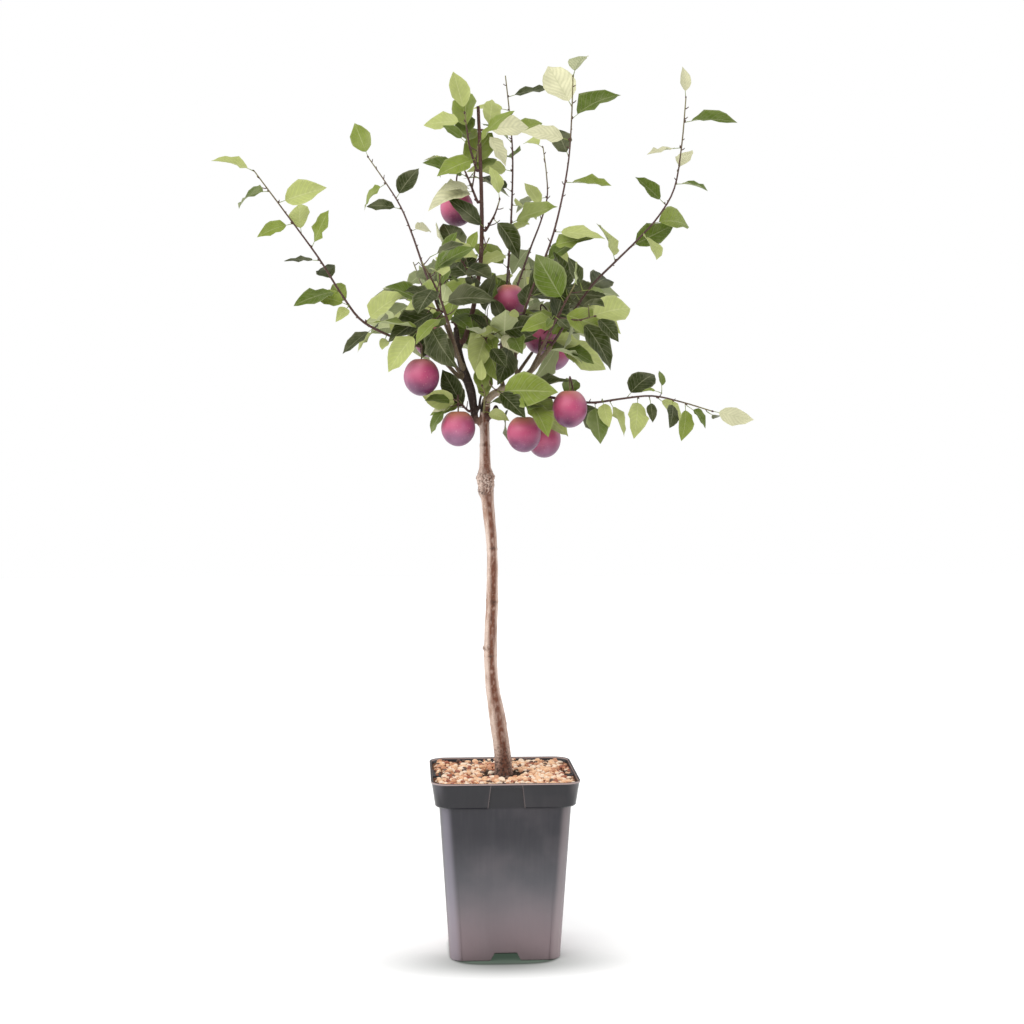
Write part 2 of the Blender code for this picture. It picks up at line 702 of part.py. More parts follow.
def leaf_sites(mass, stem, twigs, dice):
    """For each leaf of a mass, its choices of place: a spiral along the stem and each twig."""
    face = BACK if mass.carrier.startswith("back") else FRONT
    shoots = [(stem, mass.bare)] + [(twig, 0.45) for twig in twigs]
    weights = [(1 - bare) * shoot.length + 0.02 for shoot, bare in shoots]
    sites = []
    for (shoot, bare), weight in zip(shoots, weights):
        count = max(2, round(mass.leaves * weight / sum(weights)))
        turn = dice.uniform(0, 6.28)
        for index in range(count):
            share = bare + (1 - bare) * (index + 0.5) / count
            last = index == count - 1
            share = 0.995 if last else share + dice.uniform(-0.25, 0.25) / count
            share = max(share, FOOT_ROOM / shoot.length)
            size = mass.size * (TIP_LEAF if last else 1.0)
            sites.append(leaf_choices(shoot, share, turn + index * TURN, size, last, face, dice))
    return sites


# Share of the blade's length and of its half width at each ring, past the stalk
LEAF_RINGS = ((0.40, 1.0), (0.76, 0.72))
# The same at the places that are held against the front view
LEAF_OUTLINE = ((0.20, 0.60), (0.40, 1.0), (0.60, 0.86), (0.80, 0.50), (1.0, 0.0))


def blade_place(leaf, run, wide, thick=0.0):
    """A place on a leaf: along its bent midrib, out to one side and up through its thickness."""
    hoop = leaf.length / leaf.curl
    bend = max(run, 0.0) / hoop
    reach = hoop * math.sin(bend) if run > 0 else run
    dip = hoop * (1 - math.cos(bend))
    lift = abs(wide) * leaf.fold + thick
    return leaf.root + leaf.axis * reach + leaf.up * (lift - dip) + leaf.up.cross(leaf.axis) * wide


def leaf_mesh(leaf):
    """A closed blade with a stalk: a four-sided sphere drawn out along a bent midrib."""
    bm = bmesh.new()
    bmesh.ops.create_uvsphere(bm, u_segments=4, v_segments=4, radius=1.0)
    blade = leaf.length - LEAF_STALK
    rings = [(-LEAF_ROOT, 0.0), (LEAF_NECK, 0.0)] + [
        (LEAF_STALK + blade * share, leaf.width / 2 * half) for share, half in LEAF_RINGS
    ] + [(leaf.length, 0.0)]
    heights = sorted({round(vert.co.z, 4) for vert in bm.verts})
    for vert in bm.verts:
        level = heights.index(round(vert.co.z, 4))
        run, half = rings[level]
        flat = Vector((vert.co.x, vert.co.y))
        if 0 < level < len(rings) - 1:
            flat.normalize()
        else:
            flat = Vector((0.0, 0.0))
        vert.co = blade_place(leaf, run, flat.x * max(half, STALK_HALF), flat.y * LEAF_THICKNESS / 2)
    bmesh.ops.recalc_face_normals(bm, faces=bm.faces)
    return bm


# The front view


Screen = namedtuple("Screen", "start end half depth")


def seen(place):
    """Where a place shows in the plane of the trunk, from the eye: across and up."""
    spot = EYE + (place - EYE) * (EYE.y / (EYE.y - place.y))
    return Vector((spot.x, spot.z))


def off_line(spot, start, end):
    """Distance of a spot from the straight line between two others."""
    way = end - start
    share = min(max((spot - start).dot(way) / way.length_squared, 0.0), 1.0)
    return (spot - start - way * share).length


def limb_screens(limb, bare, end=1.0):
    """What a leaf in front of a limb would hide, between two shares of the limb's length."""
    stretches = zip(limb.points, limb.points[1:], limb.radii, limb.runs)
    return [
        Screen(seen(a), seen(b), radius + BARE_WOOD_ROOM, max(a.y, b.y))
        for a, b, radius, run in stretches if bare * limb.length <= run <= end * limb.length
    ]


def plum_screen(centre):
    """What a leaf in front of a plum would hide."""
    half = Vector((0.0, 0.0, PLUM_RADIUS * (PLUM_STRETCH - 1)))
    return Screen(seen(centre - half), seen(centre + half), OPEN_PLUM_RADIUS, centre.y)


def front_screens(carriers, starts):
    """All that leaves keep out of from the front: sky, bare boughs, the whips' stems and near plums."""
    screens = [Screen(Vector(gap.start), Vector(gap.end), gap.half, math.inf) for gap in SKY_GAPS]
    for name, (bare, end) in BARE_WOOD.items():
        screens += limb_screens(carriers[name], bare, end)
    for start in starts:
        if start.mass.name.endswith("whip"):
            screens += limb_screens(start.stem, start.mass.bare)
        screens += [plum_screen(Vector(centre)) for centre in start.mass.plums if centre[1] < NEAR_PLUM]
    return screens


def in_the_way(leaf, screens):
    """Whether any sampled place on a leaf's blade is on a screen and no further off than what it guards."""
    for share, half in LEAF_OUTLINE:
        run = LEAF_STALK + (leaf.length - LEAF_STALK) * share
        for side in (-1, 0, 1):
            place = blade_place(leaf, run, side * half * leaf.width / 2)
            spot = seen(place)
            for screen in screens:
                if place.y < screen.depth and off_line(spot, screen.start, screen.end) < screen.half:
                    return True
    return False


# Joining a mass


def tree_of(bm, skip_root=None):
    """A search tree of a mesh's faces, leaving out those within skip_root of its root."""
    bm.verts.ensure_lookup_table()
    points = [vert.co.copy() for vert in bm.verts]
    faces = [[vert.index for vert in face.verts] for face in bm.faces]
    if skip_root:
        root, reach = skip_root
        faces = [face for face in faces if all((points[i] - root).length > reach for i in face)]
    return BVHTree.FromPolygons(points, faces)


def swollen(bm, leaf):
    """Search trees of the leaf grown a little all round: the whole leaf, and all but its foot."""
    copy = bm.copy()
    bmesh.ops.recalc_face_normals(copy, faces=copy.faces)
    for vert in copy.verts:
        vert.co += vert.normal * LEAF_ROOM
    trees = tree_of(copy), tree_of(copy, (leaf.root, LEAF_STALK * 0.6))
    copy.free()
    return trees


def add_plum(name, centre, stem, collection):
    """A plum on its stalk, with a twig from the nearest place on the stem."""
    top = Vector(centre) + Vector((0, 0, PLUM_RADIUS * PLUM_STRETCH))
    hook = top + Vector((0, 0, PLUM_STALK))
    shares = [FOOT_ROOM / stem.length + step / 20 for step in range(19)]
    place = min((stem.at(share)[0] for share in shares), key=lambda spot: (spot - hook).length)
    middle = place.lerp(hook, 0.55) + Vector((0, 0, 0.004))
    points = smooth_way([place, middle, hook, top - Vector((0, 0, 0.004))], 2)
    limb = Limb(points, [TWIG_RADIUS] * len(points))
    stalk = add_tube(name + "_stalk", limb, TWIG_SIDES, collection)
    bm = bmesh.new()
    bmesh.ops.create_uvsphere(bm, u_segments=8, v_segments=5, radius=PLUM_RADIUS)
    bm.transform(Matrix.Translation(centre) @ Matrix.Diagonal((1.0, 1.0, PLUM_STRETCH, 1.0)))
    return stalk, add_mesh_object(name, bm, collection)


def mesh_tree(obj):
    """A search tree of an object's faces."""
    bm = bmesh.new()
    bm.from_mesh(obj.data)
    tree = tree_of(bm)
    bm.free()
    return tree


def touches(tree, others):
    """Whether a solid's faces cut those of any other."""
    return any(tree.overlap(other) for other in others)


def start_mass(mass, carriers, parts, material):
    """The stem, the plums and the side twigs of a mass, still loose, with their search trees."""
    dice = random.Random(mass.seed)
    stem = grown_limb(
        carriers[mass.carrier], mass.at, mass.toward, mass.way, stem_radius, LIMB_STEPS
    )
    loose = new_collection(mass.name + "_loose")
    body = add_tube(mass.name, stem, STEM_SIDES, parts, material)
    trees = [mesh_tree(body)]
    for index, centre in enumerate(mass.plums):
        trees += [mesh_tree(item) for item in add_plum(f"{mass.name}_plum_{index}", centre, stem, loose)]
    twigs = grown_twigs(mass, stem, dice)
    for index, twig in enumerate(twigs):
        trees.append(mesh_tree(add_tube(f"{mass.name}_twig_{index}", twig, TWIG_SIDES, loose)))
    return Start(mass, dice, stem, twigs, loose, body, trees)


def finish_mass(start, others, taken, screens):
    """Adds the leaves that find room, and joins all of the mass into one closed body."""
    own = list(start.trees)
    whole_leaves = []
    grown = 0
    for choices in leaf_sites(start.mass, start.stem, start.twigs, start.dice):
        for leaf in choices:
            if in_the_way(leaf, screens):
                continue
            bm = leaf_mesh(leaf)
            whole, blade = swollen(bm, leaf)
            if touches(blade, own) or touches(whole, others) or touches(whole, taken):
                bm.free()
                continue
            own.append(blade)
            whole_leaves.append(whole)
            add_mesh_object(f"{start.mass.name}_leaf_{grown}", bm, start.loose)
            grown += 1
            break
    taken += whole_leaves
    apply_boolean(start.body, "UNION", collection=start.loose)
    bpy.data.collections.remove(start.loose)


def main():
    """Builds every sub-part."""
    clear_scene()
    parts = new_collection("potted_plum_tree")
    cutters = new_collection("cutters")
    plastic = new_material("pot_plastic", (0.095, 0.088, 0.095), 0.55)
    soil = new_material("soil", (0.035, 0.025, 0.018), 0.95)
    stones = new_material("stones", (0.42, 0.33, 0.24), 0.85)
    bark = new_material("bark", (0.24, 0.17, 0.12), 0.85)
    foliage = new_material("foliage", (0.09, 0.19, 0.045), 0.6)
    solids = [
        mesh_tree(make_pot(parts, cutters, plastic)),
        mesh_tree(make_growing_medium(parts, cutters, soil)),
        mesh_tree(make_top_dressing(parts, cutters, stones)),
    ]
    trunk, trunk_solid = make_trunk(parts, bark)
    solids.append(mesh_tree(trunk_solid))
    carriers = {"trunk": trunk}
    for row in BOUGHS:
        thickness = bough_radius(row.thick)
        limb = grown_limb(carriers[row.carrier], row.at, row.toward, row.way, thickness, LIMB_STEPS)
        carriers[row.name] = limb
        sides = STOUT_BOUGH_SIDES if row.thick[0] > STOUT_BOUGH_RADIUS else SLIM_BOUGH_SIDES
        solids.append(mesh_tree(add_tube(row.name, limb, sides, parts, bark)))
    starts = [start_mass(row, carriers, parts, foliage) for row in MASSES]
    screens = front_screens(carriers, starts)
    taken = []
    for start in starts:
        others = solids + [tree for other in starts if other is not start for tree in other.trees]
        finish_mass(start, others, taken, screens)


if __name__ == "__main__":
    main()
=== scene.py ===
"""Looks of the potted plum tree, dressed over its packed frame: pot, soil, stones, bark, twigs, leaves, plums.

Metres, +Z up, and the photograph is taken from the -Y side.
"""

import functools
import math
import random
from collections import namedtuple

import bmesh
import bpy
import numpy as np
from mathutils import Matrix, Vector, noise
from mathutils.kdtree import KDTree


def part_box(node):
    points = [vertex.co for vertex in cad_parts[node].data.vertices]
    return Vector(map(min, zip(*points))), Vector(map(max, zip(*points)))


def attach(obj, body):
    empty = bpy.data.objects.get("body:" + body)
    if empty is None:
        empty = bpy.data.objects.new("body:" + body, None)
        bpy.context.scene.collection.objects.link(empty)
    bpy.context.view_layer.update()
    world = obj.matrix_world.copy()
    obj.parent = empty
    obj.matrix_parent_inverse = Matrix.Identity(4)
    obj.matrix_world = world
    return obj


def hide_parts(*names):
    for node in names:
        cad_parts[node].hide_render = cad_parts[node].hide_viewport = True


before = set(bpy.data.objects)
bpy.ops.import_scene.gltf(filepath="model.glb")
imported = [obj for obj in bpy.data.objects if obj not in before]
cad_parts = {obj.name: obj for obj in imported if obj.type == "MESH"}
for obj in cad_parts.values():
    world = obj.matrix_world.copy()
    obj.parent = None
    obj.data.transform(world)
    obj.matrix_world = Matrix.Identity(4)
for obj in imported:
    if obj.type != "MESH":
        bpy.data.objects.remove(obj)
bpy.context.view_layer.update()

bl_info = {
    "name": "Potted plum tree",
    "version": (1, 0, 0),
    "blender": (4, 5, 0),
    "location": "3D View > Sidebar > Plum Tree",
    "description": "Dresses the packed potted plum tree with its pot, bark, leaves and fruit",
    "category": "Object",
}

# Sizes of the limbs, as in the part's source
CLEAR = 0.0003
STEM_RADIUS = 0.0019
TWIG_RADIUS = 0.0011
SHOOT_TIP = 0.0008
LEAF_STALK = 0.010
LEAF_WIDTH = 0.58
PLUM_RADIUS = 0.0243
PLUM_STRETCH = 1.08
PLUM_STALK = 0.016
FOOT_ROOM = 0.0035
TURN = math.radians(137.5)
LEAF_TURNS = (0, 40, -40, 80, -80, 120, 180)
LEAF_FAN = 0.65
LEAF_FACING = 0.62
LEAF_ROLL = 30
TIP_LEAF = 0.85
FRONT = Vector((0.0, -1.0, 0.4)).normalized()
BACK = Vector((0.0, 1.0, 0.4)).normalized()
BOUGH_MIDDLE = 0.4
LIMB_STEPS = 2
BARE_WOOD_ROOM = 0.0012
OPEN_PLUM_RADIUS = 0.018
NEAR_PLUM = -0.02
LEAF_OUTLINE = ((0.20, 0.60), (0.40, 1.0), (0.60, 0.86), (0.80, 0.50), (1.0, 0.0))
FULL_TURN = 2 * math.pi
TRUNK_FOOT = 0.2388
LEAF_MATCH = 0.0006
LEAF_SPACING = 0.019
HEART_TOP = 0.90

# Height, place across and radius of the trunk at each station, from the foot to the fork
TRUNK_STATIONS = (
    (TRUNK_FOOT, 0.0004, 0.0138),
    (0.2480, 0.0004, 0.0124),
    (0.2700, -0.0005, 0.0115),
    (0.3224, -0.0079, 0.0112),
    (0.3586, -0.0140, 0.0094),
    (0.4032, -0.0170, 0.0089),
    (0.4477, -0.0161, 0.0087),
    (0.4824, -0.0147, 0.0081),
    (0.5518, -0.0147, 0.0073),
    (0.6175, -0.0205, 0.0085),
    (0.6400, -0.0228, 0.0104),
    (0.6520, -0.0236, 0.0122),
    (0.6660, -0.0242, 0.0080),
    (0.7024, -0.0245, 0.0067),
    (0.7341, -0.0253, 0.0068),
    (0.7500, -0.0235, 0.0068),
)

# carrier: the limb it leaves, at the share `at` of its length, on the side `toward`
Bough = namedtuple("Bough", "name carrier at toward way thick")
Mass = namedtuple("Mass", "name carrier at toward way leaves size bare twigs reach seed plums", defaults=((),))

BOUGHS = (
    Bough(
        "left_bough", "trunk", 0.965, (-1, -0.1, 0),
        ((-0.044, -0.007, 0.771), (-0.056, -0.006, 0.806), (-0.062, -0.006, 0.835), (-0.0645, -0.006, 0.858)),
        (0.0044, 0.0068, 0.0036),
    ),
    Bough(
        "leader", "left_bough", 0.86, (1, 0, 0.2),
        ((-0.041, -0.008, 0.883), (-0.030, -0.003, 0.955), (-0.029, 0.002, 1.040), (-0.033, 0.012, 1.163)),
        (0.0036, 0.0031, 0.0024),
    ),
    Bough(
        "right_bough", "trunk", 1.0, (0, 0, 1),
        ((-0.011, 0.000, 0.768), (0.013, -0.004, 0.779), (0.040, -0.009, 0.800), (0.066, -0.014, 0.833)),
        (0.0058, 0.0045, 0.0030),
    ),
    Bough(
        "centre_bough", "right_bough", 0.30, (-0.1, 0.5, 1),
        ((-0.002, 0.012, 0.815), (0.003, 0.022, 0.868)),
        (0.0030, 0.0027, 0.0024),
    ),
    Bough(
        "upright_bough", "right_bough", 0.50, (-0.2, -0.5, 1),
        ((0.016, -0.024, 0.815), (0.019, -0.036, 0.848)),
        (0.0030, 0.0026, 0.0023),
    ),
    Bough(
        "low_right_bough", "right_bough", 0.52, (0.3, -1, -0.6),
        ((0.034, -0.026, 0.774), (0.060, -0.032, 0.763)),
        (0.0028, 0.0025, 0.0022),
    ),
    Bough(
        "far_left_bough", "left_bough", 0.52, (-1, -0.2, 0),
        ((-0.094, -0.012, 0.822), (-0.134, -0.018, 0.838)),
        (0.0030, 0.0026, 0.0023),
    ),
    Bough(
        "inner_left_bough", "left_bough", 0.72, (-0.6, 1, 0),
        ((-0.074, 0.016, 0.852), (-0.085, 0.035, 0.880)),
        (0.0028, 0.0025, 0.0022),
    ),
    Bough(
        "back_left_bough", "left_bough", 0.42, (-0.2, 1, 0),
        ((-0.066, 0.045, 0.812), (-0.080, 0.085, 0.845)),
        (0.0030, 0.0027, 0.0023),
    ),
    Bough(
        "back_right_bough", "right_bough", 0.42, (0.1, 1, -0.1),
        ((0.022, 0.040, 0.795), (0.046, 0.082, 0.828)),
        (0.0030, 0.0027, 0.0023),
    ),
    Bough(
        "front_left_bough", "left_bough", 0.60, (-0.1, -1, 0),
        ((-0.068, -0.045, 0.835), (-0.078, -0.082, 0.862)),
        (0.0028, 0.0025, 0.0022),
    ),
    Bough(
        "front_right_bough", "right_bough", 0.66, (0.2, -1, 0.3),
        ((0.048, -0.045, 0.822), (0.058, -0.080, 0.846)),
        (0.0028, 0.0025, 0.0022),
    ),
)

MASSES = (
    Mass(
        "centre_whip", "centre_bough", 1.0, (0, 0, 1),
        ((0.013, 0.046, 0.985), (0.018, 0.070, 1.110), (0.009, 0.090, 1.222)),
        15, 0.072, 0.06, 0, 0.0, 242, ((0.009, -0.006, 0.893),),
    ),
    Mass(
        "upright_right_whip", "upright_bough", 1.0, (0, 0, 1),
        ((0.036, -0.062, 0.905), (0.062, -0.090, 0.975), (0.080, -0.120, 1.070), (0.082, -0.155, 1.170)),
        14, 0.074, 0.04, 0, 0.0, 655,
    ),
    Mass(
        "arching_right_whip", "right_bough", 1.0, (0, 0, 1),
        ((0.120, -0.036, 0.914), (0.180, -0.055, 0.974), (0.226, -0.075, 1.040), (0.238, -0.095, 1.157)),
        14, 0.068, 0.06, 0, 0.0, 448,
    ),
    Mass(
        "back_whip", "centre_bough", 0.85, (0.2, 1, 0),
        ((0.026, 0.080, 0.925), (0.048, 0.112, 0.985), (0.074, 0.155, 1.060), (0.071, 0.196, 1.141)),
        6, 0.064, 0.10, 0, 0.0, 239,
    ),
    Mass(
        "inner_left_whip", "inner_left_bough", 1.0, (0, 0, 1),
        ((-0.110, 0.080, 0.955), (-0.140, 0.125, 1.040), (-0.188, 0.172, 1.119)),
        8, 0.068, 0.10, 0, 0.0, 133,
    ),
    Mass(
        "far_left_whip", "far_left_bough", 1.0, (0, 0, 1),
        ((-0.196, -0.030, 0.868), (-0.250, -0.047, 0.948), (-0.333, -0.070, 1.059)),
        13, 0.066, 0.02, 0, 0.0, 473, ((-0.112, -0.043, 0.789),),
    ),
    Mass(
        "low_right_whip", "low_right_bough", 1.0, (0, 0, 1),
        ((0.120, -0.056, 0.754), (0.195, -0.090, 0.762), (0.269, -0.126, 0.741)),
        10, 0.062, 0.03, 0, 0.0, 27, ((0.087, -0.062, 0.746),),
    ),
    Mass(
        "leader_top_spray", "leader", 0.90, (1, 0.4, 0.3),
        ((-0.018, 0.018, 1.132), (-0.006, 0.018, 1.146)),
        6, 0.066, 0.0, 0, 0.0, 400,
    ),
    Mass(
        "leader_left_twig", "leader", 0.73, (-1, -0.3, 0.4),
        ((-0.046, -0.004, 1.108), (-0.052, -0.010, 1.148)),
        8, 0.072, 0.25, 0, 0.0, 562,
    ),
    Mass(
        "leader_upper_spray", "leader", 0.60, (-1, 0.2, 0.4),
        ((-0.052, 0.010, 1.075), (-0.064, 0.014, 1.092)),
        9, 0.080, 0.0, 1, 0.05, 1, ((-0.062, 0.030, 1.026),),
    ),
    Mass(
        "leader_right_spray", "leader", 0.48, (1, -0.3, 0.4),
        ((-0.012, -0.020, 1.010), (-0.006, -0.034, 1.028)),
        6, 0.072, 0.0, 0, 0.0, 73,
    ),
    Mass(
        "leader_lower_spray", "leader", 0.26, (-1, -0.5, 0.3),
        ((-0.056, -0.026, 0.945), (-0.074, -0.040, 0.958)),
        9, 0.080, 0.0, 1, 0.05, 585,
    ),
    Mass(
        "left_heart_spray", "left_bough", 1.0, (0, 0, 1),
        ((-0.078, -0.018, 0.876), (-0.104, -0.034, 0.884)),
        12, 0.080, 0.0, 2, 0.06, 223,
    ),
    Mass(
        "centre_heart_spray", "centre_bough", 0.55, (-1, -0.4, 0.3),
        ((-0.016, -0.012, 0.850), (-0.026, -0.030, 0.870)),
        10, 0.080, 0.0, 2, 0.05, 455,
    ),
    Mass(
        "right_heart_spray", "right_bough", 0.84, (-0.3, 0.4, 1),
        ((0.056, 0.014, 0.862), (0.078, 0.018, 0.882)),
        11, 0.080, 0.0, 2, 0.06, 291, ((0.055, 0.027, 0.849),),
    ),
    Mass(
        "fork_spray", "trunk", 0.985, (-0.2, -1, 0.2),
        ((-0.026, -0.030, 0.766), (-0.030, -0.042, 0.776)),
        9, 0.046, 0.0, 0, 0.0, 442,
    ),
    Mass(
        "low_left_spray", "left_bough", 0.14, (-1, -0.4, -0.2),
        ((-0.058, -0.022, 0.752), (-0.066, -0.030, 0.758)),
        9, 0.054, 0.0, 0, 0.0, 226, ((-0.062, -0.026, 0.720),),
    ),
    Mass(
        "low_centre_spray", "right_bough", 0.40, (0, -1, -0.5),
        ((0.014, -0.034, 0.764), (0.030, -0.050, 0.758)),
        9, 0.082, 0.0, 2, 0.045, 368, ((0.026, -0.052, 0.712), (0.057, -0.006, 0.705)),
    ),
    Mass(
        "back_left_spray", "back_left_bough", 1.0, (0, 1, 0.5),
        ((-0.098, 0.135, 0.898), (-0.122, 0.190, 0.968)),
        11, 0.074, 0.0, 2, 0.05, 350, ((-0.098, 0.138, 0.850),),
    ),
    Mass(
        "back_right_spray", "back_right_bough", 1.0, (0, 1, 0.5),
        ((0.080, 0.130, 0.880), (0.128, 0.182, 0.952)),
        12, 0.074, 0.0, 2, 0.05, 397, ((0.082, 0.130, 0.832),),
    ),
    Mass(
        "front_left_spray", "front_left_bough", 1.0, (0, -1, 0.4),
        ((-0.092, -0.120, 0.898), (-0.112, -0.160, 0.930)),
        9, 0.072, 0.0, 1, 0.05, 464,
    ),
    Mass(
        "front_right_spray", "front_right_bough", 1.0, (0, -1, 0.4),
        ((0.072, -0.118, 0.876), (0.084, -0.160, 0.902)),
        9, 0.074, 0.0, 1, 0.05, 348,
    ),
)
# The front view: where its eye stands, and the gaps between the leaves that show sky there. Each gap
# has two ends, as places across and heights in the plane of the trunk, and a half width.
EYE = Vector((-0.130, -2.362, 0.688))
Gap = namedtuple("Gap", "start end half")
SKY_GAPS = (
    Gap((0.135, 1.120), (0.190, 1.150), 0.026),
    Gap((0.165, 1.225), (0.195, 1.185), 0.026),
    Gap((0.130, 1.034), (0.180, 1.040), 0.014),
    Gap((0.173, 1.000), (0.180, 1.010), 0.016),
    Gap((0.205, 0.910), (0.235, 0.840), 0.032),
    Gap((0.118, 0.770), (0.160, 0.773), 0.011),
    Gap((0.110, 0.958), (0.142, 0.948), 0.012),
    Gap((-0.015, 1.030), (-0.016, 0.990), 0.009),
    Gap((-0.125, 0.962), (-0.098, 0.964), 0.013),
    Gap((-0.220, 0.962), (-0.160, 0.952), 0.022),
    Gap((-0.150, 1.225), (-0.140, 1.110), 0.030),
    Gap((-0.065, 1.245), (-0.020, 1.240), 0.020),
    Gap((-0.100, 1.106), (-0.058, 1.108), 0.009),
    Gap((0.014, 1.210), (0.016, 1.172), 0.008),
    Gap((0.064, 1.160), (0.074, 1.146), 0.010),
    Gap((0.060, 1.092), (0.072, 1.052), 0.009),
    Gap((0.044, 0.994), (0.058, 0.984), 0.011),
    Gap((-0.106, 1.062), (-0.104, 1.026), 0.008),
    Gap((-0.160, 0.722), (-0.210, 0.760), 0.036),
    Gap((0.245, 0.815), (0.310, 0.810), 0.030),
)
# Wood that the front view shows bare, and the shares of its length between which it comes free
BARE_WOOD = {
    "trunk": (0.72, 1.0),
    "left_bough": (0.0, 1.0),
    "right_bough": (0.0, 0.32),
    "leader": (0.30, 1.0),
}
MASS_NAMES = [row.name for row in MASSES]

# Short stubs that only the bark shows: the hooked stub at the fork, a spur and two pruned knobs
STUBS = (
    Bough(
        "hooked_stub", "trunk", 0.975, (1, -0.6, 0.2),
        ((-0.010, -0.006, 0.7500), (-0.007, -0.007, 0.7440), (-0.0065, -0.007, 0.7390)),
        (0.0030, 0.0022, 0.0018),
    ),
    Bough(
        "dark_spur", "left_bough", 0.16, (1, -0.6, 0.5),
        ((-0.030, -0.010, 0.7640), (-0.020, -0.012, 0.7710)),
        (0.0021, 0.0018, 0.0015),
    ),
    Bough(
        "pruned_knob", "trunk", 0.345, (-1, -0.4, 0.4),
        ((-0.0240, -0.0030, 0.4156), (-0.0248, -0.0034, 0.4166)),
        (0.0029, 0.0025, 0.0017),
    ),
    Bough(
        "back_knob", "trunk", 0.610, (0.5, 1, 0.4),
        ((-0.0110, 0.0095, 0.5540), (-0.0100, 0.0110, 0.5560)),
        (0.0028, 0.0025, 0.0020),
    ),
)


def srgb(code):
    """The linear colour of a 0xRRGGBB code."""
    shares = [(code >> shift & 255) / 255 for shift in (16, 8, 0)]
    return tuple(s / 12.92 if s <= 0.04045 else ((s + 0.055) / 1.055) ** 2.4 for s in shares)


def blend(start, end, share):
    return tuple(a + (b - a) * share for a, b in zip(start, end))


# Limbs


def smooth_way(points, steps):
    """A smooth line through the points, with some steps from each to the next."""
    ends = [points[0] * 2 - points[1], *points, points[-1] * 2 - points[-2]]
    line = []
    for before, start, end, after in zip(ends, ends[1:], ends[2:], ends[3:]):
        for step in range(steps):
            t = step / steps
            line.append(
                0.5 * (
                    2 * start
                    + (end - before) * t
                    + (2 * before - 5 * start + 4 * end - after) * t * t
                    + (3 * start - before - 3 * end + after) * t * t * t
                )
            )
    line.append(points[-1].copy())
    return line


class Limb:
    """A line with a radius at each point, that other limbs can leave."""

    def __init__(self, points, radii):
        self.points = points
        self.radii = radii
        self.runs = [0.0]
        for a, b in zip(points, points[1:]):
            self.runs.append(self.runs[-1] + (b - a).length)
        self.length = self.runs[-1]

    def at(self, share):
        """Place, direction and radius at a share of the length."""
        run = min(max(share, 0.0), 1.0) * self.length
        index = next((i for i in range(len(self.runs) - 2) if self.runs[i + 1] >= run), len(self.runs) - 2)
        part = (run - self.runs[index]) / (self.runs[index + 1] - self.runs[index])
        a, b = self.points[index], self.points[index + 1]
        radius = self.radii[index] + (self.radii[index + 1] - self.radii[index]) * part
        return a.lerp(b, part), (b - a).normalized(), radius

    def seat(self, share, toward):
        """The foot of a limb that leaves here, and the way it faces."""
        place, along, radius = self.at(share)
        if share >= 1.0:
            return place + along * CLEAR, along
        side = Vector(toward)
        side = (side - side.project(along)).normalized()
        return place + side * (radius + CLEAR), side


def grown_limb(carrier, at, toward, way, radius_of, steps):
    foot, side = carrier.seat(at, toward)
    first = foot + side * radius_of(0.0) * 1.3
    line = [foot, *smooth_way([first, *map(Vector, way)], steps)]
    limb = Limb(line, [0.0] * len(line))
    limb.radii = [radius_of(run / limb.length) for run in limb.runs]
    return limb


def bough_radius(thick):
    foot, middle, tip = thick

    def radius_of(share):
        if share < BOUGH_MIDDLE:
            return foot + (middle - foot) * share / BOUGH_MIDDLE
        return middle + (tip - middle) * (share - BOUGH_MIDDLE) / (1 - BOUGH_MIDDLE)

    return radius_of


def stem_radius(share):
    return STEM_RADIUS + (SHOOT_TIP - STEM_RADIUS) * share


# Masses, by the rule of the part's source


Leaf = namedtuple("Leaf", "root axis up length width fold curl")
Site = namedtuple("Site", "leaf shoot share turn last")
Growth = namedtuple("Growth", "mass stem twigs stalks sites")


def side_of(along, turn):
    """The direction square to along, at an angle round it."""
    start = along.orthogonal().normalized()
    level = Vector((0, 0, 1)).cross(along)
    if level.length > 0.05:
        start = level.normalized()
    return Matrix.Rotation(turn, 3, along) @ start


def grown_twigs(mass, stem, dice):
    twigs = []
    for index in range(mass.twigs):
        share = mass.bare + (1 - mass.bare) * (index + 0.6) / (mass.twigs + 0.9)
        place, along, radius = stem.at(share)
        side = side_of(along, dice.uniform(0, 6.28) + index * TURN)
        length = mass.reach * dice.uniform(0.8, 1.2)
        heading = (along * 0.55 + side * 0.85).normalized()
        middle = place + heading * length * 0.55
        tip = middle + (heading + Vector((0, 0, 0.35))) * length * 0.45
        points = smooth_way([place, middle, tip], 2)
        radii = [TWIG_RADIUS + (SHOOT_TIP - TWIG_RADIUS) * i / (len(points) - 1) for i in range(len(points))]
        twigs.append(Limb(points, radii))
    return twigs


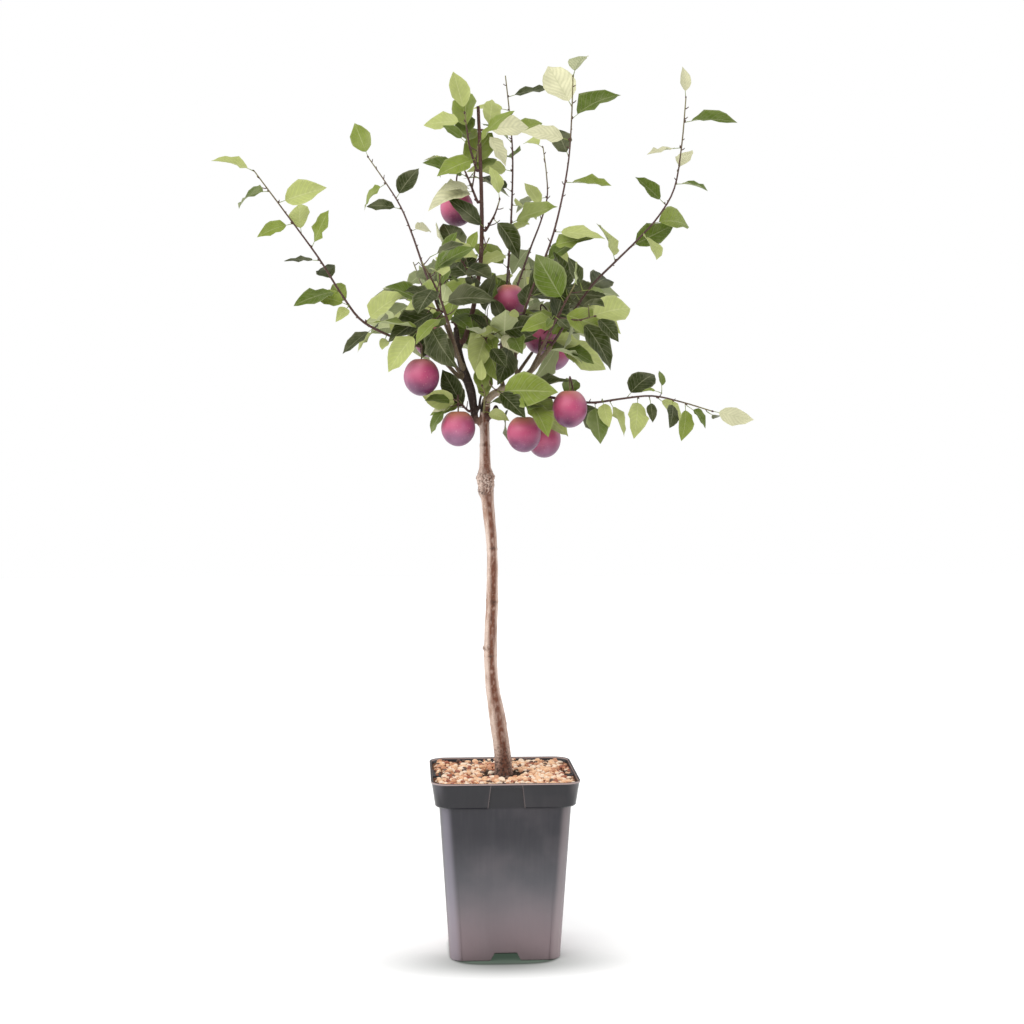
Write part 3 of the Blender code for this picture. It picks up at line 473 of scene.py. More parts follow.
def leaf_choices(shoot, share, turn, size, tip, face, dice):
    """Where a leaf may go, best first: the same leaf turned step by step round its shoot.

    Leaves fan out across the way their mass faces, and turn their upper sides to it.
    """
    place, along, radius = shoot.at(share)
    length = size * dice.uniform(0.74, 1.12)
    width = (length - LEAF_STALK) * LEAF_WIDTH * dice.uniform(0.84, 1.10)
    opening = math.radians(dice.uniform(12, 28) if tip else dice.uniform(42, 74))
    droop = dice.uniform(0.0, 0.45)
    roll = math.radians(dice.uniform(-LEAF_ROLL, LEAF_ROLL))
    fold = dice.uniform(0.10, 0.52)
    curl = math.radians(dice.uniform(5, 58))
    choices = []
    for extra in LEAF_TURNS:
        side = side_of(along, turn + math.radians(extra))
        side = (side - side.project(face) * LEAF_FAN).normalized()
        axis = along * math.cos(opening) + side * math.sin(opening) - Vector((0, 0, droop))
        axis.normalize()
        up = along - along.project(axis)
        if up.length < 0.2 or up.z < -0.2:
            up = Vector((0, 0, 1)) - Vector((0, 0, 1)).project(axis)
        up = up.normalized().lerp(face, LEAF_FACING)
        up = Matrix.Rotation(roll, 3, axis) @ (up - up.project(axis)).normalized()
        choices.append(Leaf(place, axis, up, length, width, fold, curl))
    return choices


def bent(leaf, run):
    """How far along its axis, and how far down, a bent leaf's midrib has gone at a run."""
    bend = leaf.curl * run / leaf.length
    if bend < 1e-4:
        return run, 0.0
    hoop = leaf.length / leaf.curl
    return hoop * math.sin(bend), hoop * (1 - math.cos(bend))


def blade_place(leaf, run, wide):
    """A place on a leaf: along its bent midrib, and out to one side."""
    reach, dip = bent(leaf, run)
    return leaf.root + leaf.axis * reach + leaf.up * (abs(wide) * leaf.fold - dip) + leaf.up.cross(leaf.axis) * wide


def tip_of(leaf):
    return blade_place(leaf, leaf.length, 0.0)


def face_of(mass):
    """The way that the leaves of a mass turn their upper sides."""
    return BACK if mass.carrier.startswith("back") else FRONT


def grown_leaves(mass, stem, twigs, dice):
    """The leaves of a mass: of each leaf's choices, the one whose tip the packed solid has."""
    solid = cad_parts[mass.name].data.vertices
    corners = KDTree(len(solid))
    for vert in solid:
        corners.insert(vert.co, vert.index)
    corners.balance()
    face = face_of(mass)
    shoots = [(stem, mass.bare)] + [(twig, 0.45) for twig in twigs]
    weights = [(1 - bare) * shoot.length + 0.02 for shoot, bare in shoots]
    sites = []
    for (shoot, bare), weight in zip(shoots, weights):
        count = max(2, round(mass.leaves * weight / sum(weights)))
        turn = dice.uniform(0, 6.28)
        for index in range(count):
            share = bare + (1 - bare) * (index + 0.5) / count
            last = index == count - 1
            share = 0.995 if last else share + dice.uniform(-0.25, 0.25) / count
            share = max(share, FOOT_ROOM / shoot.length)
            size = mass.size * (TIP_LEAF if last else 1.0)
            round_shoot = turn + index * TURN
            for leaf in leaf_choices(shoot, share, round_shoot, size, last, face, dice):
                if corners.find(tip_of(leaf))[2] < LEAF_MATCH:
                    sites.append(Site(leaf, shoot, share, round_shoot, last))
                    break
    return sites


def plum_stalk(centre, stem):
    """The twig that bears a plum, from the nearest place on the stem to the plum's top."""
    top = Vector(centre) + Vector((0, 0, PLUM_RADIUS * PLUM_STRETCH))
    hook = top + Vector((0, 0, PLUM_STALK))
    shares = [FOOT_ROOM / stem.length + step / 20 for step in range(19)]
    place = min((stem.at(share)[0] for share in shares), key=lambda spot: (spot - hook).length)
    middle = place.lerp(hook, 0.55) + Vector((0, 0, 0.004))
    points = smooth_way([place, middle, hook, top - Vector((0, 0, 0.004))], 5)
    return Limb(points, [TWIG_RADIUS] * len(points))


@functools.lru_cache(maxsize=1)
def grown_tree():
    """All limbs by name, and the growth of each mass."""
    points = [Vector((across, 0.0, height)) for height, across, radius in TRUNK_STATIONS]
    limbs = {"trunk": Limb(points, [radius for height, across, radius in TRUNK_STATIONS])}
    for row in BOUGHS + STUBS:
        thickness = bough_radius(row.thick)
        limbs[row.name] = grown_limb(limbs[row.carrier], row.at, row.toward, row.way, thickness, LIMB_STEPS)
    crown = []
    for mass in MASSES:
        dice = random.Random(mass.seed)
        stem = grown_limb(
            limbs[mass.carrier], mass.at, mass.toward, mass.way, stem_radius, LIMB_STEPS
        )
        twigs = grown_twigs(mass, stem, dice)
        stalks = [plum_stalk(centre, stem) for centre in mass.plums]
        crown.append(Growth(mass, stem, twigs, stalks, grown_leaves(mass, stem, twigs, dice)))
    return limbs, crown


# The front view


Screen = namedtuple("Screen", "start end half depth")


def seen(place):
    """Where a place shows in the plane of the trunk, from the eye: across and up."""
    spot = EYE + (place - EYE) * (EYE.y / (EYE.y - place.y))
    return Vector((spot.x, spot.z))


def off_line(spot, start, end):
    """Distance of a spot from the straight line between two others."""
    way = end - start
    share = min(max((spot - start).dot(way) / way.length_squared, 0.0), 1.0)
    return (spot - start - way * share).length


def limb_screens(limb, bare, end=1.0):
    """What a leaf in front of a limb would hide, between two shares of the limb's length."""
    stretches = zip(limb.points, limb.points[1:], limb.radii, limb.runs)
    return [
        Screen(seen(a), seen(b), radius + BARE_WOOD_ROOM, max(a.y, b.y))
        for a, b, radius, run in stretches if bare * limb.length <= run <= end * limb.length
    ]


def plum_screen(centre):
    """What a leaf in front of a plum would hide."""
    half = Vector((0.0, 0.0, PLUM_RADIUS * (PLUM_STRETCH - 1)))
    return Screen(seen(centre - half), seen(centre + half), OPEN_PLUM_RADIUS, centre.y)


@functools.lru_cache(maxsize=1)
def front_screens():
    """All that leaves keep out of from the front: sky, bare boughs, the whips' stems and near plums."""
    carriers, crown = grown_tree()
    screens = [Screen(Vector(gap.start), Vector(gap.end), gap.half, math.inf) for gap in SKY_GAPS]
    for name, (bare, end) in BARE_WOOD.items():
        screens += limb_screens(carriers[name], bare, end)
    for growth in crown:
        if growth.mass.name.endswith("whip"):
            screens += limb_screens(growth.stem, growth.mass.bare)
        screens += [plum_screen(Vector(centre)) for centre in growth.mass.plums if centre[1] < NEAR_PLUM]
    return screens


def in_the_way(leaf):
    """Whether any sampled place on a leaf's blade is on a screen and no further off than what it guards."""
    for share, half in LEAF_OUTLINE:
        run = LEAF_STALK + (leaf.length - LEAF_STALK) * share
        for side in (-1, 0, 1):
            place = blade_place(leaf, run, side * half * leaf.width / 2)
            spot = seen(place)
            for screen in front_screens():
                if place.y < screen.depth and off_line(spot, screen.start, screen.end) < screen.half:
                    return True
    return False


# Joined meshes


class Heap:
    """Points, faces, finish numbers and pattern places of many small things that make one mesh."""

    def __init__(self):
        self.points = []
        self.faces = []
        self.finishes = []
        self.places = []
        self.count = 0

    def add(self, points, faces, finishes, places):
        self.points.append(np.asarray(points, dtype=float))
        self.faces += [tuple(corner + self.count for corner in face) for face in faces]
        self.finishes += [finishes] * len(faces) if isinstance(finishes, int) else list(finishes)
        self.places.append(np.asarray(places, dtype=float))
        self.count += len(points)

    def piece(self, name, slot, materials, replaced=()):
        mesh = bpy.data.meshes.new(name)
        mesh.from_pydata(np.concatenate(self.points).tolist(), [], self.faces)
        corners = np.empty(len(mesh.loops), dtype=np.int32)
        mesh.loops.foreach_get("vertex_index", corners)
        mesh.uv_layers.new(name="UVMap").data.foreach_set("uv", np.concatenate(self.places)[corners].ravel())
        mesh.shade_smooth()
        mesh.set_sharp_from_angle(angle=math.radians(100))
        obj = bpy.data.objects.new(name, mesh)
        bpy.context.scene.collection.objects.link(obj)
        finished(obj, materials, replaced)
        mesh.polygons.foreach_set("material_index", self.finishes)
        return obj


def finished(obj, materials, replaced=()):
    """Gives a piece its materials and its body, and hides the solids that it stands for."""
    obj.data.materials.clear()
    for material in materials:
        obj.data.materials.append(material)
    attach(obj, "root")
    if replaced:
        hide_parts(*replaced)
    return obj


def tube(limb, sides):
    """The limb as rings with a point at each end: points, faces and pattern places."""
    line = np.array([list(point) for point in limb.points])
    side = limb.at(0.0)[1].orthogonal().normalized()
    rings = []
    places = []
    for index, (centre, radius) in enumerate(zip(limb.points, limb.radii)):
        ahead = limb.points[min(index + 1, len(line) - 1)] - limb.points[max(index - 1, 0)]
        ahead.normalize()
        side = (side - side.project(ahead)).normalized()
        other = ahead.cross(side)
        for step in range(sides):
            angle = FULL_TURN * step / sides
            rings.append(centre + (side * math.cos(angle) + other * math.sin(angle)) * radius)
            places.append((step / sides, limb.runs[index] / limb.length))
    last = len(limb.points) - 1
    faces = [
        (row * sides + step, row * sides + (step + 1) % sides, (row + 1) * sides + (step + 1) % sides,
         (row + 1) * sides + step)
        for row in range(last) for step in range(sides)
    ]
    faces.append(tuple(reversed(range(sides))))
    faces.append(tuple(last * sides + step for step in range(sides)))
    return [list(point) for point in rings], faces, places


def finer(limb, steps):
    """The same limb with more points, smooth between them."""
    if len(limb.points) < 3:
        return limb
    points = smooth_way(limb.points, steps)
    rough = Limb(points, [0.0] * len(points))
    rough.radii = [limb.at(run / rough.length)[2] for run in rough.runs]
    return rough


# Materials


class Value:
    """One output in a material's tree. Operators on it add Math nodes."""

    def __init__(self, finish, socket):
        self.finish = finish
        self.socket = socket

    def math(self, operation, *values):
        return self.finish.node("ShaderNodeMath", {"operation": operation}, values)

    def __add__(self, other):
        return self.math("ADD", self, other)

    def __sub__(self, other):
        return self.math("SUBTRACT", self, other)

    def __rsub__(self, other):
        return self.math("SUBTRACT", other, self)

    def __mul__(self, other):
        return self.math("MULTIPLY", self, other)

    __radd__ = __add__
    __rmul__ = __mul__

    def __abs__(self):
        return self.math("ABSOLUTE", self)

    def part(self):
        """What is past the whole number."""
        return self.math("FRACT", self)

    def between(self, low, high):
        """A smooth rise from 0 at low to 1 at high."""
        return self.finish.node(
            "ShaderNodeMapRange", {"interpolation_type": "SMOOTHSTEP"},
            {"Value": self, "From Min": low, "From Max": high},
        )


class Finish:
    """A material whose surface is built up node by node."""

    def __init__(self, name, colour, roughness):
        self.material = bpy.data.materials.new(name)
        self.material.use_nodes = True
        self.tree = self.material.node_tree
        self.shader = self.tree.nodes["Principled BSDF"]
        self.set("Base Color", colour)
        self.set("Roughness", roughness)
        self.material.diffuse_color = (*colour, 1.0) if not isinstance(colour, Value) else (0.5, 0.5, 0.5, 1.0)

    def put(self, socket, value):
        if isinstance(value, Value):
            self.tree.links.new(value.socket, socket)
        elif socket.type == "RGBA":
            socket.default_value = (*value[:3], 1.0)
        else:
            socket.default_value = value

    def set(self, name, value):
        self.put(self.shader.inputs[name], value)

    def node(self, kind, settings=None, values=(), output=0):
        """A new node with its settings, then the values or links of its sockets, as one output."""
        made = self.tree.nodes.new(kind)
        for key, setting in (settings or {}).items():
            if key == "stops":
                stops = made.color_ramp.elements
                while len(stops) < len(setting):
                    stops.new(0.5)
                for stop, (place, colour) in zip(stops, setting):
                    stop.position = place
                    stop.color = (*colour, 1.0)
            else:
                setattr(made, key, setting)
        for key, value in values.items() if isinstance(values, dict) else enumerate(values):
            self.put(made.inputs[key], value)
        return Value(self, made.outputs[output])

    def coordinates(self, stretch=(1.0, 1.0, 1.0)):
        """Object coordinates, stretched."""
        place = self.node("ShaderNodeTexCoord", output="Object")
        return self.node("ShaderNodeMapping", values={"Vector": place, "Scale": stretch})

    def noise(self, scale, detail=3.0, stretch=(1.0, 1.0, 1.0), rough=0.5):
        return self.node(
            "ShaderNodeTexNoise",
            values={"Vector": self.coordinates(stretch), "Scale": scale, "Detail": detail, "Roughness": rough},
        )

    def pattern_place(self):
        """The two pattern places of the piece's UV map, as values."""
        places = self.node("ShaderNodeUVMap", {"uv_map": "UVMap"})
        return [self.node("ShaderNodeSeparateXYZ", values=(places,), output=index) for index in (0, 1)]

    def height(self):
        """Object height, as a value."""
        place = self.node("ShaderNodeTexCoord", output="Object")
        return self.node("ShaderNodeSeparateXYZ", values=(place,), output=2)

    def mix(self, share, start, end, blend_type="MIX"):
        return self.node(
            "ShaderNodeMix", {"data_type": "RGBA", "blend_type": blend_type}, {0: share, 6: start, 7: end}, output=2
        )

    def bump(self, height, strength, distance):
        self.set(
            "Normal",
            self.node("ShaderNodeBump", values={"Height": height, "Strength": strength, "Distance": distance}),
        )


# What a user would change


def tint(name, code, description):
    return bpy.props.FloatVectorProperty(
        name=name, description=description, default=srgb(code), subtype="COLOR", size=3, min=0.0, max=1.0
    )


def length(name, default, description):
    return bpy.props.FloatProperty(
        name=name, description=description, default=default, min=0.0, subtype="DISTANCE", unit="LENGTH", precision=5
    )


class PotLooks(bpy.types.PropertyGroup):
    """Sizes and colours of the pot."""

    height: length("Height", 0.246, "Height of the pot")
    rim: length("Rim width", 0.200, "Width across the rim")
    collar: length("Collar height", 0.035, "Height of the collar under the rim")
    collar_foot: length("Collar foot width", 0.190, "Width across the collar's lower edge")
    shoulder: length("Shoulder width", 0.178, "Width of the body under the collar")
    foot: length("Foot width", 0.150, "Width across the foot")
    corner: length("Corner radius", 0.021, "Radius of the upright corners")
    wall: length("Wall", 0.0025, "Thickness of the wall")
    floor: length("Floor", 0.015, "Height of the inner floor over the foot")
    # The dark tint is the plastic's own colour; the two tints after it are painted reflection of the pale floor,
    # which pales the body down to the foot
    dark: tint("Dark plastic", 0x25242B, "Colour of the clean plastic near the top")
    grey: tint("Grey plastic", 0x636267, "Colour of the dulled plastic at half height")
    reflecting: tint("Dusty plastic", 0x87767A, "Colour of the dusty plastic near the foot")
    # Painted highlight along the rim's lip and along the panels' edges
    edge: tint("Rim edge", 0xB8A29E, "Colour of the worn edge of the rim")
    # Painted highlights on the rounded upright corners, lavender on the left and pinkish on the right
    left_highlight: tint("Left corners", 0xBEB8C8, "Colour of the rubbed corners on the left")
    right_highlight: tint("Right corners", 0xC4B4B6, "Colour of the rubbed corners on the right")


class GroundLooks(bpy.types.PropertyGroup):
    """Sizes and colours of the soil and the stones."""

    pebble: length("Pebble", 0.0068, "Usual width of a pebble")
    soil: tint("Soil", 0x463122, "Colour of the moist soil")
    fines: tint("Fines", 0x86583C, "Colour of the grit between the pebbles")
    chalk: tint("Chalk stone", 0xF8E0C6, "Colour of the palest pebbles")
    cream: tint("Cream stone", 0xF0C298, "Colour of most pebbles")
    rose: tint("Rose stone", 0xCE9068, "Colour of the pinkish pebbles")
    rust: tint("Rust stone", 0xA05432, "Colour of the orange pebbles")
    umber: tint("Umber stone", 0x5C3C2A, "Colour of the dark pebbles")


class BarkLooks(bpy.types.PropertyGroup):
    """Grain and colours of the bark."""

    voxel: length("Mesh grain", 0.00095, "Size of the bark mesh's squares")
    relief: length("Relief", 0.00034, "Depth of the bark's ridges")
    trunk: tint("Trunk", 0xA07A66, "Colour of the trunk's bark")
    rust: tint("Rusty streak", 0x66361F, "Colour of the trunk's darker streak")
    # On the trunk the silver film tint also paints the sheen on its left and right sides
    silver: tint("Silver film", 0xDECABD, "Colour of the pale film on the trunk")
    dark: tint("Dark bough", 0x2B1A12, "Colour of the left bough")
    maroon: tint("Leader", 0x4E2F26, "Colour of the straight leader")
    pale: tint("Pale bough", 0xA08D6C, "Colour of the right bough")
    scar: tint("Scar", 0x33221A, "Colour of scars and cracks")
    twig: tint("Twig", 0x4C2E28, "Colour of the twigs' lower parts")
    shoot: tint("Shoot", 0x7A7448, "Colour of the twigs' greener tips")


class LeafLooks(bpy.types.PropertyGroup):
    """Colours of the leaves, by tint."""

    thickness: length("Thickness", 0.0005, "Thickness of a blade at its midrib")
    deep: tint("Deep", 0x2F3A08, "Shaded leaves in the heart")
    middle: tint("Middle", 0x5C6F24, "Most leaves of the heart")
    fresh: tint("Fresh", 0x83933C, "Lighter leaves on the whips")
    lime: tint("Lime", 0xB6BF74, "Yellow-green leaves at the tips")
    straw: tint("Straw", 0xE0DEB8, "The palest leaves")
    under: tint("Underside", 0xB2BA94, "Paler underside")


class FruitLooks(bpy.types.PropertyGroup):
    """Colours of the plums."""

    crown: tint("Top", 0xC4845E, "Colour round the stalk")
    flesh: tint("Side", 0xA03560, "Colour of the sides")
    # Painted light: the pink of the side that faces the key light
    lighted_pink: tint("Blush", 0xE0708E, "Colour of the sunny side")
    base: tint("Bottom", 0x4A1C42, "Colour of the lower end and the shaded side")
    bloom: tint("Bloom", 0xDCA6C8, "Colour of the waxy bloom")
    stalk: tint("Stalk", 0x6F7A3A, "Colour of the stalks")


class StageLooks(bpy.types.PropertyGroup):
    """Floor, light and camera."""

    floor: tint("Floor", 0xFCFCFC, "Colour of the plain floor")
    contact_shadow: tint("Contact", 0x2E3A30, "Colour of the shadow under the pot's foot")
    under_pot: tint("Under the pot", 0x7C9682, "Colour of the light that comes up under the pot's notches")
    glow: bpy.props.FloatProperty(name="Floor glow", description="Light that the floor gives back", default=0.24)
    ambient: bpy.props.FloatProperty(name="Ambient light", description="Light from all round", default=0.26)
    sides: bpy.props.FloatProperty(name="Side light", description="Light added at both sides", default=1.0)
    overhead: bpy.props.FloatProperty(name="Overhead light", description="Light added overhead", default=0.55)
    key: bpy.props.FloatProperty(name="Key light", description="Power of the soft key light", default=58.0)
    lens: bpy.props.FloatProperty(name="Lens", description="Focal length", default=60.21, unit="CAMERA")
    camera_height: length("Camera height", 0.6883, "Height of the camera over the floor")
    camera_distance: length("Camera distance", 2.366, "Distance of the camera from the trunk")


LOOKS = {
    "plum_pot": PotLooks,
    "plum_ground": GroundLooks,
    "plum_bark": BarkLooks,
    "plum_leaves": LeafLooks,
    "plum_fruit": FruitLooks,
    "plum_stage": StageLooks,
}


# Modelling helpers


def fresh_primitive(add, name, **settings):
    """A new primitive, alone in the selection."""
    bpy.ops.object.select_all(action="DESELECT")
    add(**settings)
    obj = bpy.context.object
    obj.name = name
    return obj


def select_faces(obj, test):
    """Selects, in edit mode, just the faces that pass the test."""
    bpy.ops.mesh.select_mode(type="FACE")
    bpy.ops.mesh.select_all(action="DESELECT")
    cage = bmesh.from_edit_mesh(obj.data)
    for face in cage.faces:
        face.select_set(test(face))
    bmesh.update_edit_mesh(obj.data)


def square_stack(name, sections, corner):
    """A closed block of round-cornered square plan through (height, width) sections, bottom to top."""
    (low, width), *rest = sections
    obj = fresh_primitive(bpy.ops.mesh.primitive_plane_add, name, size=width, location=(0.0, 0.0, low))
    bpy.ops.object.transform_apply(location=True, rotation=False, scale=False)
    bpy.ops.object.mode_set(mode="EDIT")
    bpy.ops.mesh.select_all(action="SELECT")
    bpy.ops.mesh.bevel(offset=corner, segments=9, affect="VERTICES")
    bpy.ops.mesh.select_all(action="SELECT")
    for height, wide in rest:
        bpy.ops.mesh.extrude_region_move(TRANSFORM_OT_translate={"value": (0.0, 0.0, height - low)})
        bpy.ops.transform.resize(value=(wide / width, wide / width, 1.0), center_override=(0.0, 0.0, height))
        low, width = height, wide
    bpy.ops.mesh.select_all(action="SELECT")
    bpy.ops.mesh.normals_make_consistent(inside=False)
    bpy.ops.object.mode_set(mode="OBJECT")
    return obj


def wedge(name, centre, size, top_share, quarter):
    """A block on one side of the pot whose top is narrower than its foot."""
    obj = fresh_primitive(bpy.ops.mesh.primitive_cube_add, name, size=1.0, location=centre, scale=size)
    bpy.ops.object.transform_apply(location=True, rotation=False, scale=True)
    bpy.ops.object.mode_set(mode="EDIT")
    select_faces(obj, lambda face: face.normal.z > 0.9)
    top = centre[2] + size[2] / 2
    bpy.ops.transform.resize(value=(top_share, 1.0, 1.0), center_override=(centre[0], centre[1], top))
    bpy.ops.mesh.select_all(action="SELECT")
    bpy.ops.object.mode_set(mode="OBJECT")
    obj.data.transform(Matrix.Rotation(quarter * math.pi / 2, 4, "Z"))
    return obj


def apply_modifier(obj, kind, **settings):
    """Adds a modifier with its settings and applies it."""
    bpy.ops.object.select_all(action="DESELECT")
    obj.select_set(True)
    bpy.context.view_layer.objects.active = obj
    modifier = obj.modifiers.new(kind.lower(), kind)
    for key, setting in settings.items():
        setattr(modifier, key, setting)
    bpy.ops.object.modifier_apply(modifier=modifier.name)


def carve(obj, *cutters):
    for cutter in cutters:
        apply_modifier(obj, "BOOLEAN", operation="DIFFERENCE", object=cutter)
        bpy.data.objects.remove(cutter, do_unlink=True)


# Pot


def plastic(looks):
    """Dull moulded plastic: dark at the collar, with painted shade in its panels, painted reflection of the floor
    that pales it towards the foot, and painted highlights on its corners, the panels' edges and the rim.
    """
    finish = Finish("pot_plastic", looks.dark, 0.5)
    place = finish.node("ShaderNodeTexCoord", output="Object")
    x, y, up = [finish.node("ShaderNodeSeparateXYZ", values=(place,), output=index) for index in range(3)]
    cloud = finish.noise(15.0, 3.0)
    # Painted reflection of the pale floor, in two layers: paler below the collar and paler and pinker still at the
    # foot, with a mottle
    floor_reflection = 1.0 - up.between(0.045, 0.190) + (cloud - 0.5) * 0.34
    colour = finish.mix(floor_reflection, looks.dark, looks.grey)
    foot_reflection = 1.0 - up.between(0.0, 0.120) + (cloud - 0.5) * 0.40
    colour = finish.mix(foot_reflection, colour, looks.reflecting)
    scuffs = finish.noise(190.0, 3.0, (1.0, 1.0, 0.08), 0.5).between(0.35, 0.75)
    colour = finish.mix(scuffs * 0.012, colour, blend(looks.reflecting, (1, 1, 1), 0.35))
    collar = up.between(0.2095, 0.2125)
    colour = finish.mix(collar * 0.42, colour, (0.0, 0.0, 0.0))
    taper = (looks.shoulder - looks.foot) / (looks.height - looks.collar)
    widths = up * taper + looks.foot + collar * 0.015
    # Painted highlights on the outer part of each rounded upright corner, weaker on the collar
    corner = (abs(x) + abs(y) - widths).between(-0.0185, -0.0115)
    highlit = finish.mix(x.between(-0.02, 0.02), looks.left_highlight, looks.right_highlight)
    colour = finish.mix(corner * corner * (0.29 - collar * 0.20), colour, highlit)
    away = abs(x).math("MAXIMUM", abs(x), abs(y))
    along = abs(x).math("MINIMUM", abs(x), abs(y))
    # Painted shade in the four recessed panels under the rim
    panel = (1.0 - away.between(0.0893, 0.0925)) * up.between(0.2085, 0.2110)
    colour = finish.mix(panel * 0.55, colour, blend(looks.dark, (0, 0, 0), 0.5))
    # A thin painted highlight along the slanted edges of the panels
    line = 1.0 - abs(along + up * 0.118 - 0.0499).between(0.0003, 0.0010)
    colour = finish.mix(line * collar * 0.16, colour, looks.edge)
    # A thin painted highlight along the rim's lip
    rim = up.between(0.2434, 0.2445) * (1.0 - up.between(0.2454, 0.2459))
    colour = finish.mix(rim * 0.80, colour, looks.edge)
    finish.set("Base Color", colour)
    finish.set("Roughness", 0.30 + floor_reflection * 0.16)
    finish.set("Specular IOR Level", 0.43)
    grain = finish.noise(900.0, 2.0) * 0.35 + cloud
    finish.bump(grain, 0.10, 0.0004)
    return finish.material


class PLUM_OT_pot(bpy.types.Operator):
    """Models the moulded pot with its lipped collar, four panels, foot notches and drain holes"""

    bl_idname = "plum_tree.pot"
    bl_label = "Pot"

    def execute(self, context):
        looks = context.scene.plum_pot
        shoulder = looks.height - looks.collar
        lip = 0.0007
        outer = (
            (0.0, looks.foot - 0.003), (0.0012, looks.foot),
            (shoulder - 0.0016, looks.shoulder), (shoulder, looks.shoulder + 0.002),
            (shoulder + 0.0004, looks.collar_foot - 0.003), (shoulder + 0.0020, looks.collar_foot),
            (looks.height - 0.0034, looks.rim - 0.0012), (looks.height - 0.0028, looks.rim + 2 * lip - 0.0006),
            (looks.height - 0.0007, looks.rim + 2 * lip), (looks.height, looks.rim + lip - 0.0012),
        )
        thin = 2 * looks.wall
        over = 0.004
        inner = (
            (looks.floor, looks.foot + (looks.shoulder - looks.foot) * looks.floor / shoulder - thin),
            (shoulder + looks.wall, looks.shoulder - thin),
            (shoulder + looks.wall + 0.0008, looks.collar_foot - thin),
            (looks.height - 0.0005, looks.rim - thin + 0.0004), (looks.height + over, looks.rim - thin + 0.004),
        )
        pot = square_stack("nursery_pot", outer, looks.corner * looks.foot / looks.shoulder)
        room = square_stack("room", inner, (looks.corner - looks.wall) * looks.foot / looks.shoulder)
        face = looks.shoulder / 2
        panel_low = shoulder - 0.004
        panel_high = looks.height - 0.006
        deep = 0.03
        for quarter in range(4):
            carve(pot, wedge(
                "panel", (0.0, -face - deep / 2, (panel_low + panel_high) / 2),
                (0.050, deep, panel_high - panel_low), 0.84, quarter,
            ))
            carve(room, wedge(
                "backing", (0.0, -face + looks.wall - deep / 2, (panel_low + panel_high) / 2 + looks.wall),
                (0.050 + thin, deep, panel_high - panel_low + 0.0005), 0.85, quarter,
            ))
        carve(pot, room)
        for quarter in range(4):
            carve(pot, wedge("notch", (0.0, -0.075, 0.0), (0.054, 0.068, 0.0228), 0.55, quarter))
            hole = fresh_primitive(
                bpy.ops.mesh.primitive_cylinder_add, "drain", vertices=24, radius=0.006, depth=0.04,
                location=(0.0, 0.0, looks.floor),
            )
            bpy.ops.object.transform_apply(location=True, rotation=False, scale=False)
            hole.data.transform(Matrix.Rotation(quarter * math.pi / 2, 4, "Z") @ Matrix.Translation((0, -0.063, 0)))
            carve(pot, hole)
        apply_modifier(pot, "WELD", merge_threshold=0.00003)
        apply_modifier(
            pot, "BEVEL", width=0.0005, segments=2, limit_method="ANGLE", angle_limit=math.radians(50),
            loop_slide=False, use_clamp_overlap=True,
        )
        bpy.ops.object.shade_smooth_by_angle(angle=math.radians(28))
        finished(pot, [plastic(looks)], ["pot"])
        return {"FINISHED"}


# Soil and stones


def crumbly(name, colour, pale, grain, deep):
    """Loose ground: clumps of two tones with a rough broken surface."""
    finish = Finish(name, colour, 0.95)
    clumps = finish.noise(grain, 5.0, rough=0.62)
    grit = finish.noise(grain * 5, 3.0)
    tone = finish.mix(clumps.between(0.35, 0.68), blend(colour, (0, 0, 0), 0.5), colour)
    finish.set("Base Color", finish.mix(grit.between(0.60, 0.70) * 0.7, tone, pale))
    finish.set("Roughness", 0.82 + clumps * 0.15)
    finish.bump(clumps + grit * 0.5, 0.9, deep)
    return finish.material


def stony(name, colour):
    """A water-worn pebble: one stone colour with fine speckle and a dusty film."""
    finish = Finish(name, colour, 0.7)
    speckle = finish.noise(700.0, 3.0)
    tone = finish.mix(speckle.between(0.40, 0.70) * 0.55, colour, blend(colour, (1, 1, 1), 0.28))
    finish.set("Base Color", finish.mix(finish.noise(260.0, 2.0).between(0.55, 0.75) * 0.35, tone, blend(colour, (0, 0, 0), 0.4)))
    finish.set("Roughness", 0.62 + speckle * 0.25)
    finish.bump(speckle, 0.4, 0.0003)
    return finish.material


def pebble_shape():
    """Points and faces of one round stone of two dozen faces."""
    obj = fresh_primitive(bpy.ops.mesh.primitive_cube_add, "pebble", size=1.0)
    bpy.ops.object.mode_set(mode="EDIT")
    bpy.ops.mesh.select_all(action="SELECT")
    bpy.ops.mesh.subdivide(number_cuts=1)
    bpy.ops.transform.tosphere(value=0.9)
    bpy.ops.object.mode_set(mode="OBJECT")
    points = np.array([list(vert.co) for vert in obj.data.vertices])
    faces = [tuple(face.vertices) for face in obj.data.polygons]
    bpy.data.objects.remove(obj, do_unlink=True)
    return points / np.abs(points).max() / 2, faces


def ground_at(node, x, y):
    """Height of a packed solid's upper face over a place."""
    hit, place, normal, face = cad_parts[node].ray_cast(Vector((x, y, 0.4)), Vector((0, 0, -1)))
    return place.z if hit else None


def strewn(heap, shape, dice, place, size, finish):
    """Adds one stone, turned and squashed at random."""
    points, faces = shape
    squash = np.array([dice.uniform(0.8, 1.25), dice.uniform(0.75, 1.1), dice.uniform(0.5, 0.85)])
    turn = Matrix.Rotation(dice.uniform(0, FULL_TURN), 3, "Z") @ Matrix.Rotation(dice.uniform(-0.5, 0.5), 3, "X")
    knobs = 1 + (np.array([dice.random() for point in points]) - 0.5)[:, None] * 0.22
    made = (points * knobs * squash * size) @ np.array(turn).T + np.array(place)
    heap.add(made, faces, finish, np.zeros((len(points), 2)))


# The ledges behind the pot's panels, which a few pebbles lie on too
LEDGE_PLACE = 0.0905
LEDGE_TOP = 0.2434
